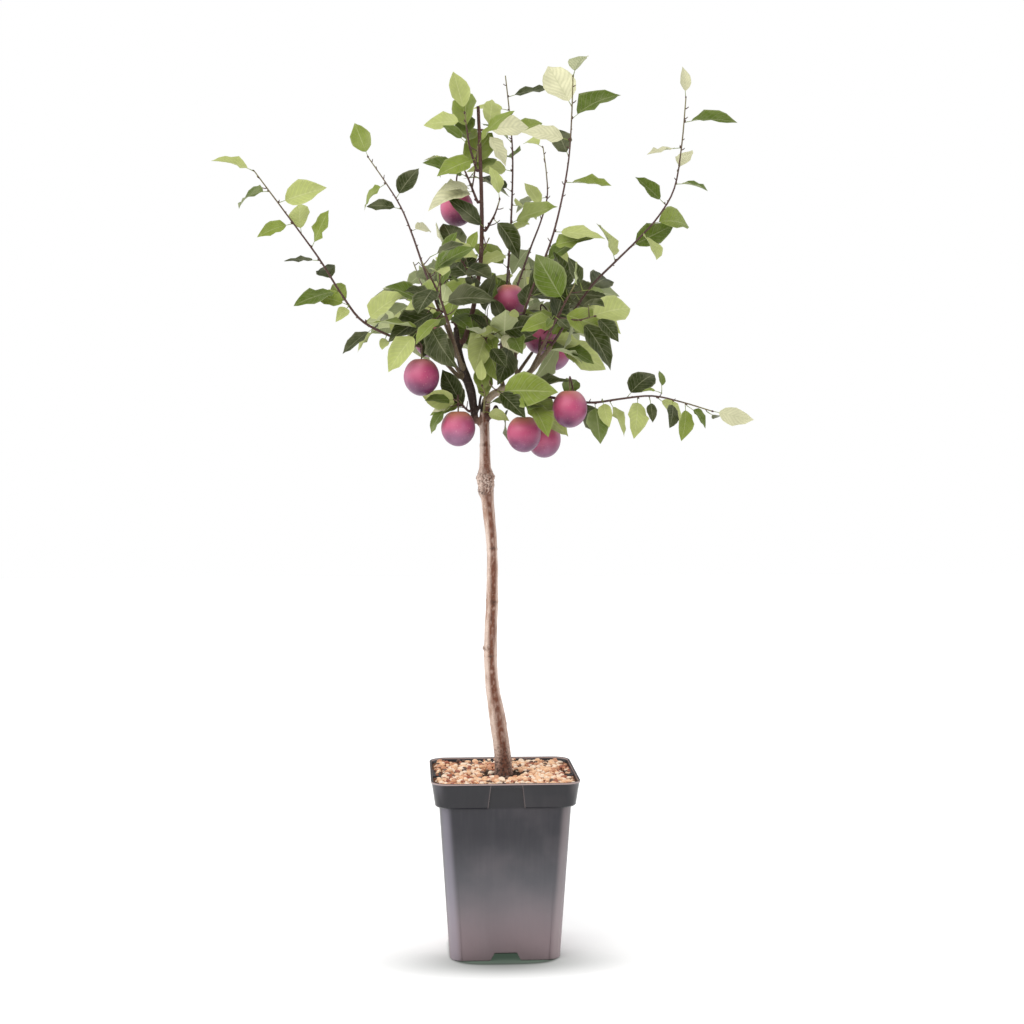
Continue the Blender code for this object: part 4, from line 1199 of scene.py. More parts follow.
# Kinds of pebble and the share of each
STONES = ("chalk", "cream", "rose", "rust", "umber")
STONE_SHARES = (0.27, 0.33, 0.21, 0.12, 0.07)


def bed_height(x, y, room):
    """Height of the dressing over a place, or None where it ends within the room round it."""
    if math.hypot(x, y) < 0.027:
        return ground_at("growing_medium", x, y)
    around = [ground_at("top_dressing", x + dx * room, y + dy * room) for dx in (-1, 1) for dy in (-1, 1)]
    return ground_at("top_dressing", x, y) if all(around) else None


class PLUM_OT_soil(bpy.types.Operator):
    """Gives the growing medium its moist crumbly look and strews crumbs round the trunk's foot"""

    bl_idname = "plum_tree.soil"
    bl_label = "Soil"

    def execute(self, context):
        looks = context.scene.plum_ground
        soil = crumbly("moist_soil", looks.soil, blend(looks.soil, looks.fines, 0.8), 190.0, 0.0018)
        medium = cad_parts["growing_medium"]
        medium.data.materials.clear()
        medium.data.materials.append(soil)
        dice = random.Random(41)
        shape = pebble_shape()
        crumbs = Heap()
        for index in range(430):
            angle = dice.uniform(0, FULL_TURN)
            away = 0.0125 + 0.0215 * dice.random() ** 0.8
            x, y = away * math.cos(angle), away * math.sin(angle)
            height = ground_at("growing_medium", x, y)
            if away > 0.023 or height is None:
                height = ground_at("top_dressing", x, y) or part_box("top_dressing")[1].z - 0.002
            size = dice.uniform(0.0016, 0.0046)
            strewn(crumbs, shape, dice, (x, y, height + size * 0.15), size, 0)
        crumbs.piece("soil_crumbs", "soil", [soil])
        return {"FINISHED"}


class PLUM_OT_stones(bpy.types.Operator):
    """Lays the loose pebbles of the top dressing on their grit"""

    bl_idname = "plum_tree.stones"
    bl_label = "Stones"

    def execute(self, context):
        looks = context.scene.plum_ground
        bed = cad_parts["top_dressing"]
        bed.data.materials.clear()
        bed.data.materials.append(crumbly("grit", looks.fines, looks.rose, 330.0, 0.0012))
        dice = random.Random(17)
        shape = pebble_shape()
        low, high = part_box("top_dressing")
        pebbles = Heap()
        step = looks.pebble * 0.88
        rows = int((high.x - low.x) / step)
        for row in range(rows):
            for column in range(rows):
                for layer, lift in ((0, 0.05), (1, 0.50)):
                    if layer and dice.random() > 0.55:
                        continue
                    x = low.x + (column + 0.5 + dice.uniform(-0.35, 0.35)) * step
                    y = low.y + (row + 0.5 + dice.uniform(-0.35, 0.35)) * step
                    size = looks.pebble * dice.choice((0.5, 0.7, 0.85, 1.0, 1.0, 1.15, 1.35))
                    kind = dice.choices(range(len(STONE_SHARES)), weights=STONE_SHARES)[0]
                    height = bed_height(x, y, size * 0.62)
                    bare_corner = x < -0.040 and y > 0.060 and dice.random() > 0.4
                    if height is None or bare_corner or math.hypot(x - 0.007, y + 0.005) < 0.017 + dice.uniform(0, 0.012):
                        continue
                    strewn(pebbles, shape, dice, (x, y, height + size * lift * 0.6), size, kind)
        for quarter in range(4):
            for index in range(16):
                spot = Vector((dice.uniform(-0.025, 0.025), -LEDGE_PLACE + dice.uniform(-0.003, 0.003), LEDGE_TOP))
                spot = Matrix.Rotation(quarter * math.pi / 2, 3, "Z") @ spot
                kind = dice.choices(range(len(STONE_SHARES)), weights=STONE_SHARES)[0]
                strewn(pebbles, shape, dice, spot, looks.pebble * dice.uniform(0.5, 0.8), kind)
        materials = [stony(f"{name}_stone", getattr(looks, name)) for name in STONES]
        pebbles.piece("pebbles", "stones", materials)
        return {"FINISHED"}


# Bark


def limb_tones(looks):
    """Bark colour at the foot and the tip of each limb. Other limbs take the pale bough's brown end."""
    brown = blend(looks.pale, looks.dark, 0.6)
    return {
        "trunk": (looks.trunk, blend(looks.trunk, looks.dark, 0.35)),
        "left_bough": (looks.dark, looks.dark),
        "leader": (looks.maroon, looks.maroon),
        "right_bough": (looks.pale, brown),
        "hooked_stub": (looks.maroon, looks.dark),
        "dark_spur": (looks.dark, looks.dark),
        "other": (brown, blend(brown, looks.twig, 0.7)),
    }


# Height and, seen from the front, the place across, the width and the height of each dark scar
SCARS = (
    (0.4795, -0.0135, 0.0050, 0.0050),
    (0.4050, -0.0170, 0.0045, 0.0022),
    (0.5545, -0.0145, 0.0055, 0.0026),
    (0.6290, -0.0250, 0.0050, 0.0014),
    (0.6975, -0.0250, 0.0030, 0.0018),
)
RINGS = (0.5525, 0.4810, 0.4055, 0.3600, 0.3105, 0.6960, 0.7280)
GRAFT_HEIGHT = 0.6480
GRAFT_REACH = 0.0130
# Place across and height of a healed knob, which is bark relief alone
KNOB = (-0.0185, 0.4160)
TRUNK_MIDDLE = -0.0222


# How far a bough's foot goes down inside its carrier, and how soon its swollen foot thins
SUNK_DEPTH = 0.014
FLARE = 0.006


def sunk_limb(limbs, row):
    """A bough whose foot is run back into its carrier and swells there."""
    limb = finer(limbs[row.name], 4)
    inside = limbs[row.carrier].at(row.at)[0]
    if row.at >= 1.0:
        inside = inside - limbs[row.carrier].at(1.0)[1] * 0.004
    below = inside - limbs[row.carrier].at(row.at)[1] * SUNK_DEPTH
    points = [below, *limb.points[1:]]
    radii = [limb.radii[0] * 0.9] + [
        radius * (1 + 0.22 * math.exp(-run / FLARE)) for radius, run in zip(limb.radii[1:], limb.runs[1:])
    ]
    return Limb(points, radii)


def bark_cage(limbs):
    """All limbs as overlapping tubes in one object."""
    cage = Heap()
    trunk = finer(limbs["trunk"], 3)
    cage.add(*tube(trunk, 20)[:2], 0, np.zeros((20 * len(trunk.points), 2)))
    for row in BOUGHS + STUBS:
        if row.name == "pruned_knob":
            continue
        limb = sunk_limb(limbs, row)
        cage.add(*tube(limb, 12)[:2], 0, np.zeros((12 * len(limb.points), 2)))
    mesh = bpy.data.meshes.new("bark")
    mesh.from_pydata(np.concatenate(cage.points).tolist(), [], cage.faces)
    obj = bpy.data.objects.new("bark", mesh)
    bpy.context.scene.collection.objects.link(obj)
    return obj


def bark_depth(place, limb_name, looks):
    """How far the bark stands out or in at a place."""
    x, y, z = place
    fine = noise.noise(place * 760.0) * 0.30
    if limb_name != "trunk":
        return looks.relief * (fine + noise.noise(place * 260.0) * 0.35)
    ridges = noise.noise(Vector((x * 430.0, y * 430.0, z * 62.0)))
    depth = looks.relief * (fine + ridges + noise.noise(Vector((x * 120.0, y * 120.0, z * 30.0))))
    for ring in RINGS:
        wavy = ring + noise.noise(place * 90.0) * 0.0016
        depth += 0.0005 * math.exp(-((z - wavy) / 0.0022) ** 2)
    knob = math.exp(-((z - GRAFT_HEIGHT) / GRAFT_REACH) ** 2)
    cracks = abs(noise.noise(Vector((x * 330.0, y * 330.0, z * 250.0))))
    lumps = noise.noise(place * 160.0) + 0.8 * noise.noise(place * 400.0)
    depth += knob * (0.0006 + 0.0015 * lumps - 0.0014 * max(0.0, 0.14 - cracks) / 0.14)
    depth += burr_share(place) * (0.0022 + 0.0012 * lumps)
    depth += 0.0022 * knob_share(place)
    flare = math.exp(-((z - TRUNK_FOOT) / 0.012) ** 2)
    lobes = math.cos(3 * math.atan2(y, x) + 0.7) * 0.5 + noise.noise(Vector((x * 90.0, y * 90.0, 3.0)))
    return depth + flare * 0.0021 * lobes


def knob_share(place):
    """How much a place belongs to the healed knob halfway up the left side."""
    left = min(max((KNOB[0] - place.x) / 0.003, 0.0), 1.0)
    return left * math.exp(-((place.z - KNOB[1]) / 0.0030) ** 2)


def burr_share(place):
    """How much a place belongs to the lump low on the graft's left side."""
    left = min(max((TRUNK_MIDDLE - place.x) / 0.005, 0.0), 1.0)
    return left * math.exp(-((place.z - GRAFT_HEIGHT + 0.0160) / 0.0058) ** 2)


def film_and_side_sheen(place, normal):
    """How silvery the trunk is at a place, from 0 to 1: painted sheen on its two sides, by the way the bark faces,
    a broken film, and flakes on the graft.
    """
    wander = noise.noise(Vector((3.0, 7.0, place.z * 26.0))) * 0.22
    # Painted sheen: bark facing left and bark facing right is paler
    left = min(max((-normal.x - 0.12 + wander * 0.6) / 0.50, 0.0), 1.0)
    right = min(max((normal.x - 0.46 + wander * 0.6) / 0.38, 0.0), 1.0)
    grain = Vector((place.x * 260.0, place.y * 260.0, place.z * 160.0))
    broken = min(max(0.04 + noise.noise(grain) * 0.45, 0.0), 0.3)
    flakes = min(max(0.55 + noise.noise(place * 420.0) * 3.2, 0.0), 1.0)
    flakes *= math.exp(-((place.z - GRAFT_HEIGHT + 0.001) / 0.0150) ** 4) * (1 - burr_share(place))
    clean = 1.0 - 0.85 * math.exp(-((place.z - TRUNK_FOOT) / 0.032) ** 2)
    return max(left, right * 0.9, broken, flakes) * clean


def scar_share(place):
    """How dark a scar or crack makes the trunk at a place, from 0 to 1."""
    x, y, z = place
    share = 0.0
    for height, across, wide, tall in SCARS:
        if y < 0.002:
            off = ((x - across) / wide) ** 2 + ((z - height) / tall) ** 2
            share = max(share, math.exp(-off * 1.5) * (0.65 + noise.noise(place * 700.0)))
    knob = math.exp(-((z - GRAFT_HEIGHT + 0.003) / 0.0180) ** 4)
    cracks = abs(noise.noise(Vector((x * 330.0, y * 330.0, z * 250.0))))
    share = max(share, knob * max(0.0, 0.15 - cracks) / 0.15 * 0.95)
    share = max(share, burr_share(place) * (0.60 + noise.noise(place * 500.0)))
    share = max(share, knob_share(place) * (0.55 + noise.noise(place * 700.0)))
    foot = math.exp(-((z - TRUNK_FOOT) / 0.036) ** 2)
    return min(max(share, foot * (0.30 + noise.noise(place * 460.0) * 2.6), 0.0), 0.92)


def bark_material(looks):
    """Young bark: the limb's own tone, with a silvery film that on the trunk also holds painted sheen on its two
    sides, dark streaks and corky dashes.
    """
    finish = Finish("bark", looks.trunk, 0.8)
    tone = finish.node("ShaderNodeAttribute", {"attribute_name": "tone"}, output="Color")
    film = finish.noise(70.0, 5.0, (1.0, 1.0, 0.30), 0.62).between(0.30, 0.60)
    streaks = finish.noise(300.0, 3.0, (1.0, 1.0, 0.10), 0.55).between(0.50, 0.68)
    dashes = finish.noise(260.0, 2.0, (0.42, 0.42, 2.3)).between(0.64, 0.70)
    speckle = finish.noise(900.0, 2.0).between(0.55, 0.72)
    # The film attribute: on the trunk, the silvery film together with painted sheen on its left and right sides
    reach = finish.node("ShaderNodeAttribute", {"attribute_name": "film"}, output="Fac")
    colour = finish.mix(streaks * 0.38, tone, looks.scar)
    colour = finish.mix(film * reach * 0.85, colour, looks.silver)
    colour = finish.mix(dashes * (reach * 0.4 + 0.10), colour, blend(looks.silver, looks.trunk, 0.3))
    flecks = finish.noise(380.0, 3.0, (1.0, 1.0, 0.6)).between(0.56, 0.66)
    colour = finish.mix(flecks * 0.32 * (reach * 0.8 + 0.2), colour, looks.silver)
    finish.set("Base Color", finish.mix(speckle * 0.34, colour, looks.scar))
    finish.set("Roughness", 0.86 - film * 0.22)
    finish.bump(streaks * -0.5 + dashes * 0.8 + speckle * 0.3, 0.45, 0.0005)
    return finish.material


class PLUM_OT_bark(bpy.types.Operator):
    """Grows one continuous skin of bark over the trunk, boughs and stubs, with its relief"""

    bl_idname = "plum_tree.bark"
    bl_label = "Bark"

    def execute(self, context):
        looks = context.scene.plum_bark
        limbs, crown = grown_tree()
        obj = bark_cage(limbs)
        apply_modifier(obj, "REMESH", mode="VOXEL", voxel_size=looks.voxel)
        apply_modifier(obj, "SMOOTH", factor=0.5, iterations=3)
        mesh = obj.data
        wood = ["trunk"] + [row.name for row in BOUGHS + STUBS]
        samples = [
            (limbs[name].at(step / 60)[0], name, step / 60) for name in wood for step in range(61)
        ]
        nearest = KDTree(len(samples))
        for index, (place, name, share) in enumerate(samples):
            nearest.insert(place, index)
        nearest.balance()
        tones = limb_tones(looks)
        colours = np.ones((len(mesh.vertices), 4), dtype=np.float32)
        films = np.zeros(len(mesh.vertices), dtype=np.float32)
        moved = np.empty((len(mesh.vertices), 3))
        for index, vert in enumerate(mesh.vertices):
            name, share = samples[nearest.find(vert.co)[1]][1:]
            if name.endswith("_knob"):
                name, share = "trunk", 0.0
            moved[index] = vert.co + vert.normal * bark_depth(vert.co, name, looks)
            foot, tip = tones.get(name, tones["other"])
            colour = blend(foot, tip, min(max((share - 0.7) / 0.3, 0.0), 1.0) if name == "trunk" else share)
            if name == "left_bough":
                colour = blend(looks.trunk, colour, min(0.35 + share / 0.16, 1.0))
            if name == "trunk":
                # The film share holds the silvery film and the painted sheen on the trunk's sides; the rusty tone
                # fills the rest
                pale = film_and_side_sheen(vert.co, vert.normal)
                colour = blend(colour, blend(looks.trunk, looks.rust, 0.95), 1.0 - pale)
                scar = scar_share(vert.co)
                colour = blend(colour, looks.scar, scar)
                films[index] = pale * (1.0 - scar)
            elif name == "right_bough":
                films[index] = 0.7 * (1 - share)
            colours[index, :3] = colour
        moved[:, 2] = np.maximum(moved[:, 2], TRUNK_FOOT)
        mesh.vertices.foreach_set("co", moved.ravel())
        mesh.attributes.new("tone", "FLOAT_COLOR", "POINT").data.foreach_set("color", colours.ravel())
        mesh.attributes.new("film", "FLOAT", "POINT").data.foreach_set("value", films)
        mesh.shade_smooth()
        mesh.update()
        finished(obj, [bark_material(looks)], ["trunk"] + [row.name for row in BOUGHS])
        return {"FINISHED"}


# Twigs


def twig_material(looks):
    """Twig bark: brown at the foot and greener to the tip, with pale specks."""
    finish = Finish("twig_bark", looks.twig, 0.6)
    round_twig, along = finish.pattern_place()
    tone = finish.mix(along.between(0.70, 1.0), looks.twig, looks.shoot)
    patches = finish.noise(140.0, 4.0).between(0.42, 0.66)
    tone = finish.mix(patches * 0.35, tone, blend(looks.twig, looks.scar, 0.6))
    specks = finish.noise(900.0, 2.0).between(0.64, 0.72)
    finish.set("Base Color", finish.mix(specks * 0.35, tone, looks.silver))
    finish.set("Roughness", 0.5 + patches * 0.2)
    finish.bump(specks + patches * 0.4, 0.5, 0.0003)
    return finish.material


def bud(place, axis, size):
    """A pointed bud as a short limb."""
    outline = ((-0.15, 0.55), (0.15, 0.92), (0.45, 0.85), (0.8, 0.42), (1.0, 0.06))
    points = [place + axis * size * run for run, wide in outline]
    return Limb(points, [size * 0.42 * wide for run, wide in outline])


def place_on(limb, share):
    return limb.at(share)[0]


def spur(shoot, share, turn, reach, dice):
    """A short fine twig that leaves a shoot and lifts."""
    place, along, radius = shoot.at(share)
    side = side_of(along, turn)
    heading = (along * 0.5 + side).normalized()
    middle = place + heading * reach * 0.5
    tip = middle + (heading + Vector((0, 0, dice.uniform(0.1, 0.5)))).normalized() * reach * 0.5
    points = smooth_way([place, middle, tip], 3)
    radii = [SHOOT_TIP * (1.05 - 0.35 * index / (len(points) - 1)) for index in range(len(points))]
    return Limb(points, radii)


def is_whip(mass):
    return mass.name.endswith("whip") or mass.name in ("leader_top_spray", "leader_left_twig")


@functools.lru_cache(maxsize=1)
def fine_growth():
    """What the scene adds in each mass: budded spurs, with small leaves on those of the heart."""
    limbs, crown = grown_tree()
    taken = [site.leaf.root.lerp(tip_of(site.leaf), 0.6) for growth in crown for site in growth.sites]
    spurs = {}
    small = {}
    for growth in crown:
        mass = growth.mass
        dice = random.Random(mass.seed + 1000)
        spurs[mass.name] = []
        small[mass.name] = []
        for shoot in [growth.stem, *growth.twigs]:
            count = max(1, round(shoot.length / (0.021 if is_whip(mass) else 0.024)))
            for index in range(count):
                share = min(0.96, max(0.08, (index + dice.uniform(0.2, 0.8)) / count))
                turn = dice.uniform(0, FULL_TURN)
                reach = dice.uniform(0.0025, 0.007) if is_whip(mass) else dice.uniform(0.008, 0.020)
                fine = spur(shoot, share, turn, reach, dice)
                spurs[mass.name].append(fine)
                if is_whip(mass) and place_on(shoot, share).z > HEART_TOP:
                    continue
                for leaf_index in range(dice.choice((0, 1, 1, 2))):
                    size = mass.size * dice.uniform(0.50, 0.85)
                    tip = leaf_index == 0
                    around = turn + leaf_index * TURN
                    for leaf in leaf_choices(fine, 0.97, around, size, tip, face_of(mass), dice):
                        middle = leaf.root.lerp(tip_of(leaf), 0.6)
                        if in_the_way(leaf):
                            continue
                        if all((middle - other).length > LEAF_SPACING for other in taken):
                            taken.append(middle)
                            small[mass.name].append(Site(leaf, fine, 0.97, turn, tip))
                            break
    return spurs, small


class PLUM_OT_twigs(bpy.types.Operator):
    """Grows the stems, twigs, spurs and buds of all the masses as one piece"""

    bl_idname = "plum_tree.twigs"
    bl_label = "Twigs"

    def execute(self, context):
        looks = context.scene.plum_bark
        limbs, crown = grown_tree()
        spurs, small = fine_growth()
        heap = Heap()
        for growth in crown:
            dice = random.Random(growth.mass.seed + 2000)
            stem = finer(growth.stem, 4)
            foot = limbs[growth.mass.carrier].at(growth.mass.at)[0]
            stem = Limb([foot, *stem.points], [stem.radii[0] * 1.2, *stem.radii])
            green = growth.mass.name == "fork_spray"
            for limb, sides in [(stem, 8)] + [(finer(twig, 3), 6) for twig in growth.twigs + growth.stalks]:
                points, faces, places = tube(limb, sides)
                heap.add(points, faces, 0, [(0.5, 1.0)] * len(points) if green else places)
            for limb in spurs[growth.mass.name]:
                points, faces, places = tube(limb, 5)
                heap.add(points, faces, 0, places)
            for site in growth.sites:
                place, along, radius = site.shoot.at(site.share)
                axis = (site.leaf.axis * 0.6 + along).normalized()
                made = bud(place + site.leaf.axis * radius * 0.8, axis, dice.uniform(0.0026, 0.0042))
                points, faces, places = tube(made, 5)
                heap.add(points, faces, 0, np.array(places) * (1.0, 0.3))
        heap.piece("twigs", "foliage", [twig_material(looks)], MASS_NAMES)
        return {"FINISHED"}


# Leaves

# Share of the blade's length and of its half width at each row, from the stalk to before the tip
LEAF_ROWS = ((0.045, 0.30), (0.15, 0.68), (0.29, 0.93), (0.45, 1.0), (0.62, 0.87), (0.78, 0.58), (0.91, 0.23))
LEAF_COLUMNS = (-1.0, -0.5, 0.0, 0.5, 1.0)


def blade_faces():
    """Faces of the upper and the lower skin, which share their rim, and the finish of each."""
    rows, columns = len(LEAF_ROWS), len(LEAF_COLUMNS)
    base, tip = rows * columns, rows * columns + 1
    upper = [[row * columns + column for column in range(columns)] for row in range(rows)]
    below = iter(range(tip + 1, tip + 1 + rows * (columns - 2)))
    lower = [[line[0], *(next(below) for column in line[1:-1]), line[-1]] for line in upper]
    faces = []
    finishes = []
    for finish, grid in ((0, upper), (1, lower)):
        skin = []
        for row, after in zip(grid, grid[1:]):
            for column in range(columns - 1):
                skin.append((row[column], row[column + 1], after[column + 1], after[column]))
        for column in range(columns - 1):
            skin.append((base, grid[0][column + 1], grid[0][column]))
            skin.append((grid[-1][column], grid[-1][column + 1], tip))
        faces += [(face[0], *face[:0:-1]) if finish else face for face in skin]
        finishes += [finish] * len(skin)
    return faces, finishes


BLADE_FACES, BLADE_FINISHES = blade_faces()


def add_blade(heap, leaf, thickness, dice):
    """One leaf in its own outline: folded along the midrib, bent, a little twisted and wavy at the edge."""
    across = leaf.up.cross(leaf.axis)
    blade = leaf.length - LEAF_STALK
    twist = dice.uniform(-0.7, 0.7)
    wave = dice.uniform(0.06, 0.24)
    phase = dice.uniform(0, FULL_TURN)
    lean = dice.uniform(-0.06, 0.06)
    points = []
    lower = []
    places = []
    lower_places = []
    for share, half in LEAF_ROWS:
        run = LEAF_STALK + blade * share
        reach, dip = bent(leaf, run)
        turned = Matrix.Rotation(twist * (share - 0.4), 3, leaf.axis)
        out, up = turned @ across, turned @ leaf.up
        centre = leaf.root + leaf.axis * reach - leaf.up * dip
        ragged = {1.0: dice.uniform(0.92, 1.05), -1.0: dice.uniform(0.92, 1.05)}
        for column in LEAF_COLUMNS:
            wide = leaf.width / 2 * half * column * ragged.get(column, 1.0)
            ripple = wave * math.sin(share * 15 + phase + column * 1.3) * column * column
            lift = abs(wide) * (leaf.fold + lean * column) + ripple * leaf.width / 2 * half
            spot = centre + out * wide + up * lift
            body = up * thickness / 2 * (1 - abs(column))
            points.append(spot + body)
            places.append(((column + 1) / 2, share))
            if abs(column) < 1:
                lower.append(spot - body)
                lower_places.append(((column + 1) / 2, share))
    for run, share in ((LEAF_STALK, 0.0), (leaf.length, 1.0)):
        reach, dip = bent(leaf, run)
        points.append(leaf.root + leaf.axis * reach - leaf.up * dip)
        places.append((0.5, share))
    heap.add([list(point) for point in points + lower], BLADE_FACES, BLADE_FINISHES, places + lower_places)
    shares = (0.0, 0.5, 1.0)
    stalk = []
    for share in shares:
        reach, dip = bent(leaf, LEAF_STALK * (share * 1.35 - 0.05))
        stalk.append(leaf.root + leaf.axis * reach - leaf.up * (dip + thickness * 0.4))
    made, faces, stalk_places = tube(Limb(stalk, [0.00075, 0.00055, 0.0004]), 4)
    heap.add(made, faces, 2, np.array(stalk_places) * 0.0 + (0.5, 0.0))


def leaf_material(name, colour, vein, roughness, vein_share):
    """A leaf's skin: blotchy green with a paler midrib and side veins that slant to the tip, painted sheen in large
    pale patches, painted shade beside the side veins, and painted light along its edge.
    """
    finish = Finish(name, colour, roughness)
    across, along = finish.pattern_place()
    off = abs(across * 2.0 - 1.0)
    midrib = 1.0 - off.between(0.0, 0.075)
    slant = (along * 8.5 - off * 2.4).part()
    ribs = 1.0 - abs(slant - 0.5).between(0.0, 0.13)
    puckers = abs(slant - 0.5).between(0.08, 0.46)
    blotches = finish.noise(34.0, 4.0, rough=0.6).between(0.28, 0.74)
    colour_wide = finish.mix(blotches * 0.55, colour, blend(colour, (0.0, 0.0, 0.0), 0.45))
    # Painted sheen: large pale patches
    pale = finish.noise(21.0, 3.0).between(0.48, 0.74)
    colour_wide = finish.mix(pale * 0.45, colour_wide, blend(colour, vein, 0.7))
    quilt = finish.noise(150.0, 1.0).between(0.34, 0.66)
    colour_wide = finish.mix(quilt * 0.16, colour_wide, blend(colour, vein, 0.5))
    # Painted shade in the furrows beside each side vein
    colour_wide = finish.mix((1.0 - puckers) * 0.22, colour_wide, blend(colour, (0.0, 0.0, 0.0), 0.55))
    # Painted light along the blade's edge
    edge = off.between(0.80, 1.0)
    colour_wide = finish.mix(edge * 0.38, colour_wide, blend(colour, vein, 0.7))
    veins = midrib.math("MAXIMUM", midrib, ribs * 0.48)
    finish.set("Base Color", finish.mix(veins * vein_share, colour_wide, vein))
    finish.set("Roughness", roughness + blotches * 0.18)
    finish.set("Specular IOR Level", 0.12)
    return finish.material


# Share of each tint low in the heart, at the top of the crown, and at the fork; the darker mix low in the heart is
# partly painted shade
TINTS = ("deep", "middle", "fresh", "lime", "straw")
HEART_TINTS = (0.39, 0.26, 0.17, 0.14, 0.04)
TOP_TINTS = (0.06, 0.29, 0.31, 0.20, 0.14)
# Only blades shorter than this are straw-coloured low in the crown
PALEST_LENGTH = 0.060
FORK_TINTS = (0.0, 0.1, 0.4, 0.4, 0.1)
TINT_HEIGHTS = (0.92, 1.18)


def tint_shares(mass, height):
    """The share of each tint at a height: the crown pales upwards."""
    if mass.name == "fork_spray":
        return FORK_TINTS
    low, high = TINT_HEIGHTS
    up = min(max((height - low) / (high - low), 0.0), 1.0)
    if mass.name == "low_right_whip":
        up = 0.5
    return blend(HEART_TINTS, TOP_TINTS, up)


# How near a blade's middle may hang before the highest plum's middle, from the front
TOP_PLUM_ROOM = 0.016


def before_top_plum(leaf):
    """Whether a blade hangs right before the highest plum, which is left in sight."""
    plum = max((Vector(centre) for mass in MASSES for centre in mass.plums), key=lambda centre: centre.z)
    middle = blade_place(leaf, leaf.length / 2, 0.0)
    return middle.y < plum.y and (seen(middle) - seen(plum)).length < TOP_PLUM_ROOM


class PLUM_OT_leaves(bpy.types.Operator):
    """Grows every leaf by the source's rule, and joins those of each tint into one piece"""

    bl_idname = "plum_tree.leaves"
    bl_label = "Leaves"

    def execute(self, context):
        looks = context.scene.plum_leaves
        stalk = Finish("leaf_stalk", context.scene.plum_fruit.stalk, 0.55)
        stalk.set("Base Color", stalk.mix(stalk.noise(200.0), context.scene.plum_fruit.stalk, looks.fresh))
        limbs, crown = grown_tree()
        spurs, small = fine_growth()
        heaps = {name: Heap() for name in TINTS}
        spare = Heap()
        for growth in crown:
            dice = random.Random(growth.mass.seed + 3000)
            for site in growth.sites + small[growth.mass.name]:
                name = dice.choices(TINTS, weights=tint_shares(growth.mass, site.leaf.root.z))[0]
                if site.last and site.share > 0.9 and site.shoot is growth.stem and is_whip(growth.mass):
                    name = dice.choice(("lime", "straw", "fresh"))
                if name == "straw" and site.leaf.length > PALEST_LENGTH and site.leaf.root.z < 1.0:
                    name = "lime"
                add_blade(spare if before_top_plum(site.leaf) else heaps[name], site.leaf, looks.thickness, dice)
        for name, heap in heaps.items():
            colour = getattr(looks, name)
            pale = blend(colour, looks.under, 0.62)
            vein = looks.middle if name == "straw" else looks.straw
            materials = [
                leaf_material(f"leaf_{name}_upper", colour, blend(colour, vein, 0.50), 0.32, 0.42),
                leaf_material(f"leaf_{name}_under", pale, blend(pale, vein, 0.6), 0.62, 0.75),
                stalk.material,
            ]
            heap.piece(f"leaves_{name}", "foliage", materials, MASS_NAMES)
        return {"FINISHED"}


# Plums


# The side of every plum that faces the key light: painted lighter pink there, and painted shade on the side away
# from it
LIGHTED_SIDE = Vector((-0.55, -0.75, 0.15))


def plum_skin(looks):
    """Bloomy plum skin: tawny round the stalk, magenta sides, dark lower end, a painted lighter pink on the side
    toward the key light and painted shade on the side away from it, under a waxy film.
    """
    finish = Finish("plum_skin", looks.flesh, 0.35)
    lighted, along = finish.pattern_place()
    cloud = finish.noise(26.0, 2.0)
    level = along + (cloud - 0.5) * 0.40
    tone = finish.mix(level.between(0.05, 0.52), looks.base, looks.flesh)
    # Painted shade on the side away from the key light, then a painted lighter pink on the side toward it
    tone = finish.mix((1.0 - lighted.between(0.15, 0.74)) * 0.85, tone, looks.base)
    tone = finish.mix(lighted.between(0.70, 1.0) * level.between(0.20, 0.62) * 0.50, tone, looks.lighted_pink)
    tone = finish.mix(level.between(0.62, 1.10), tone, looks.crown)
    flecks = finish.noise(620.0, 2.0).between(0.66, 0.74)
    tone = finish.mix(flecks * 0.4, tone, blend(looks.crown, (1, 1, 1), 0.3))
    film = finish.noise(19.0, 3.0).between(0.36, 0.70)
    finish.set("Base Color", finish.mix(film * 0.26, tone, looks.bloom))
    finish.set("Roughness", 0.34 + film * 0.22)
    finish.set("Sheen Weight", 0.16)
    finish.set("Sheen Roughness", 0.45)
    finish.set("Sheen Tint", looks.bloom)
    finish.bump(finish.noise(300.0, 2.0) + film * 0.3, 0.12, 0.0004)
    return finish.material


def plum_shape():
    """One plum at the origin: a long ball with a stalk hollow, a seam down one side and a blunt nose."""
    obj = fresh_primitive(
        bpy.ops.mesh.primitive_uv_sphere_add, "plum", segments=36, ring_count=24, radius=PLUM_RADIUS
    )
    bpy.ops.object.mode_set(mode="EDIT")
    bpy.ops.mesh.select_all(action="SELECT")
    bpy.ops.transform.resize(value=(1.0, 0.96, PLUM_STRETCH), center_override=(0.0, 0.0, 0.0))
    bpy.ops.object.mode_set(mode="OBJECT")
    tall = PLUM_RADIUS * PLUM_STRETCH
    points = []
    places = []
    for vert in obj.data.vertices:
        x, y, z = vert.co
        places.append((0.0, z / tall / 2 + 0.5))
        off_seam = math.atan2(x, -y)
        seam = math.exp(-((off_seam / 0.16) ** 2)) * 0.045 * math.sqrt(max(0.0, 1 - (z / tall) ** 2))
        away = math.hypot(x, y)
        hollow = math.exp(-((away / (PLUM_RADIUS * 0.30)) ** 2)) * 0.0042 if z > 0 else 0.0
        swell = 1 + 0.035 * math.cos(off_seam * 2 + 1.0) * (1 - (z / tall) ** 2)
        points.append((x * (swell - seam), y * (swell - seam), z - hollow))
    faces = [tuple(face.vertices) for face in obj.data.polygons]
    bpy.data.objects.remove(obj, do_unlink=True)
    return np.array(points), faces, np.array(places)


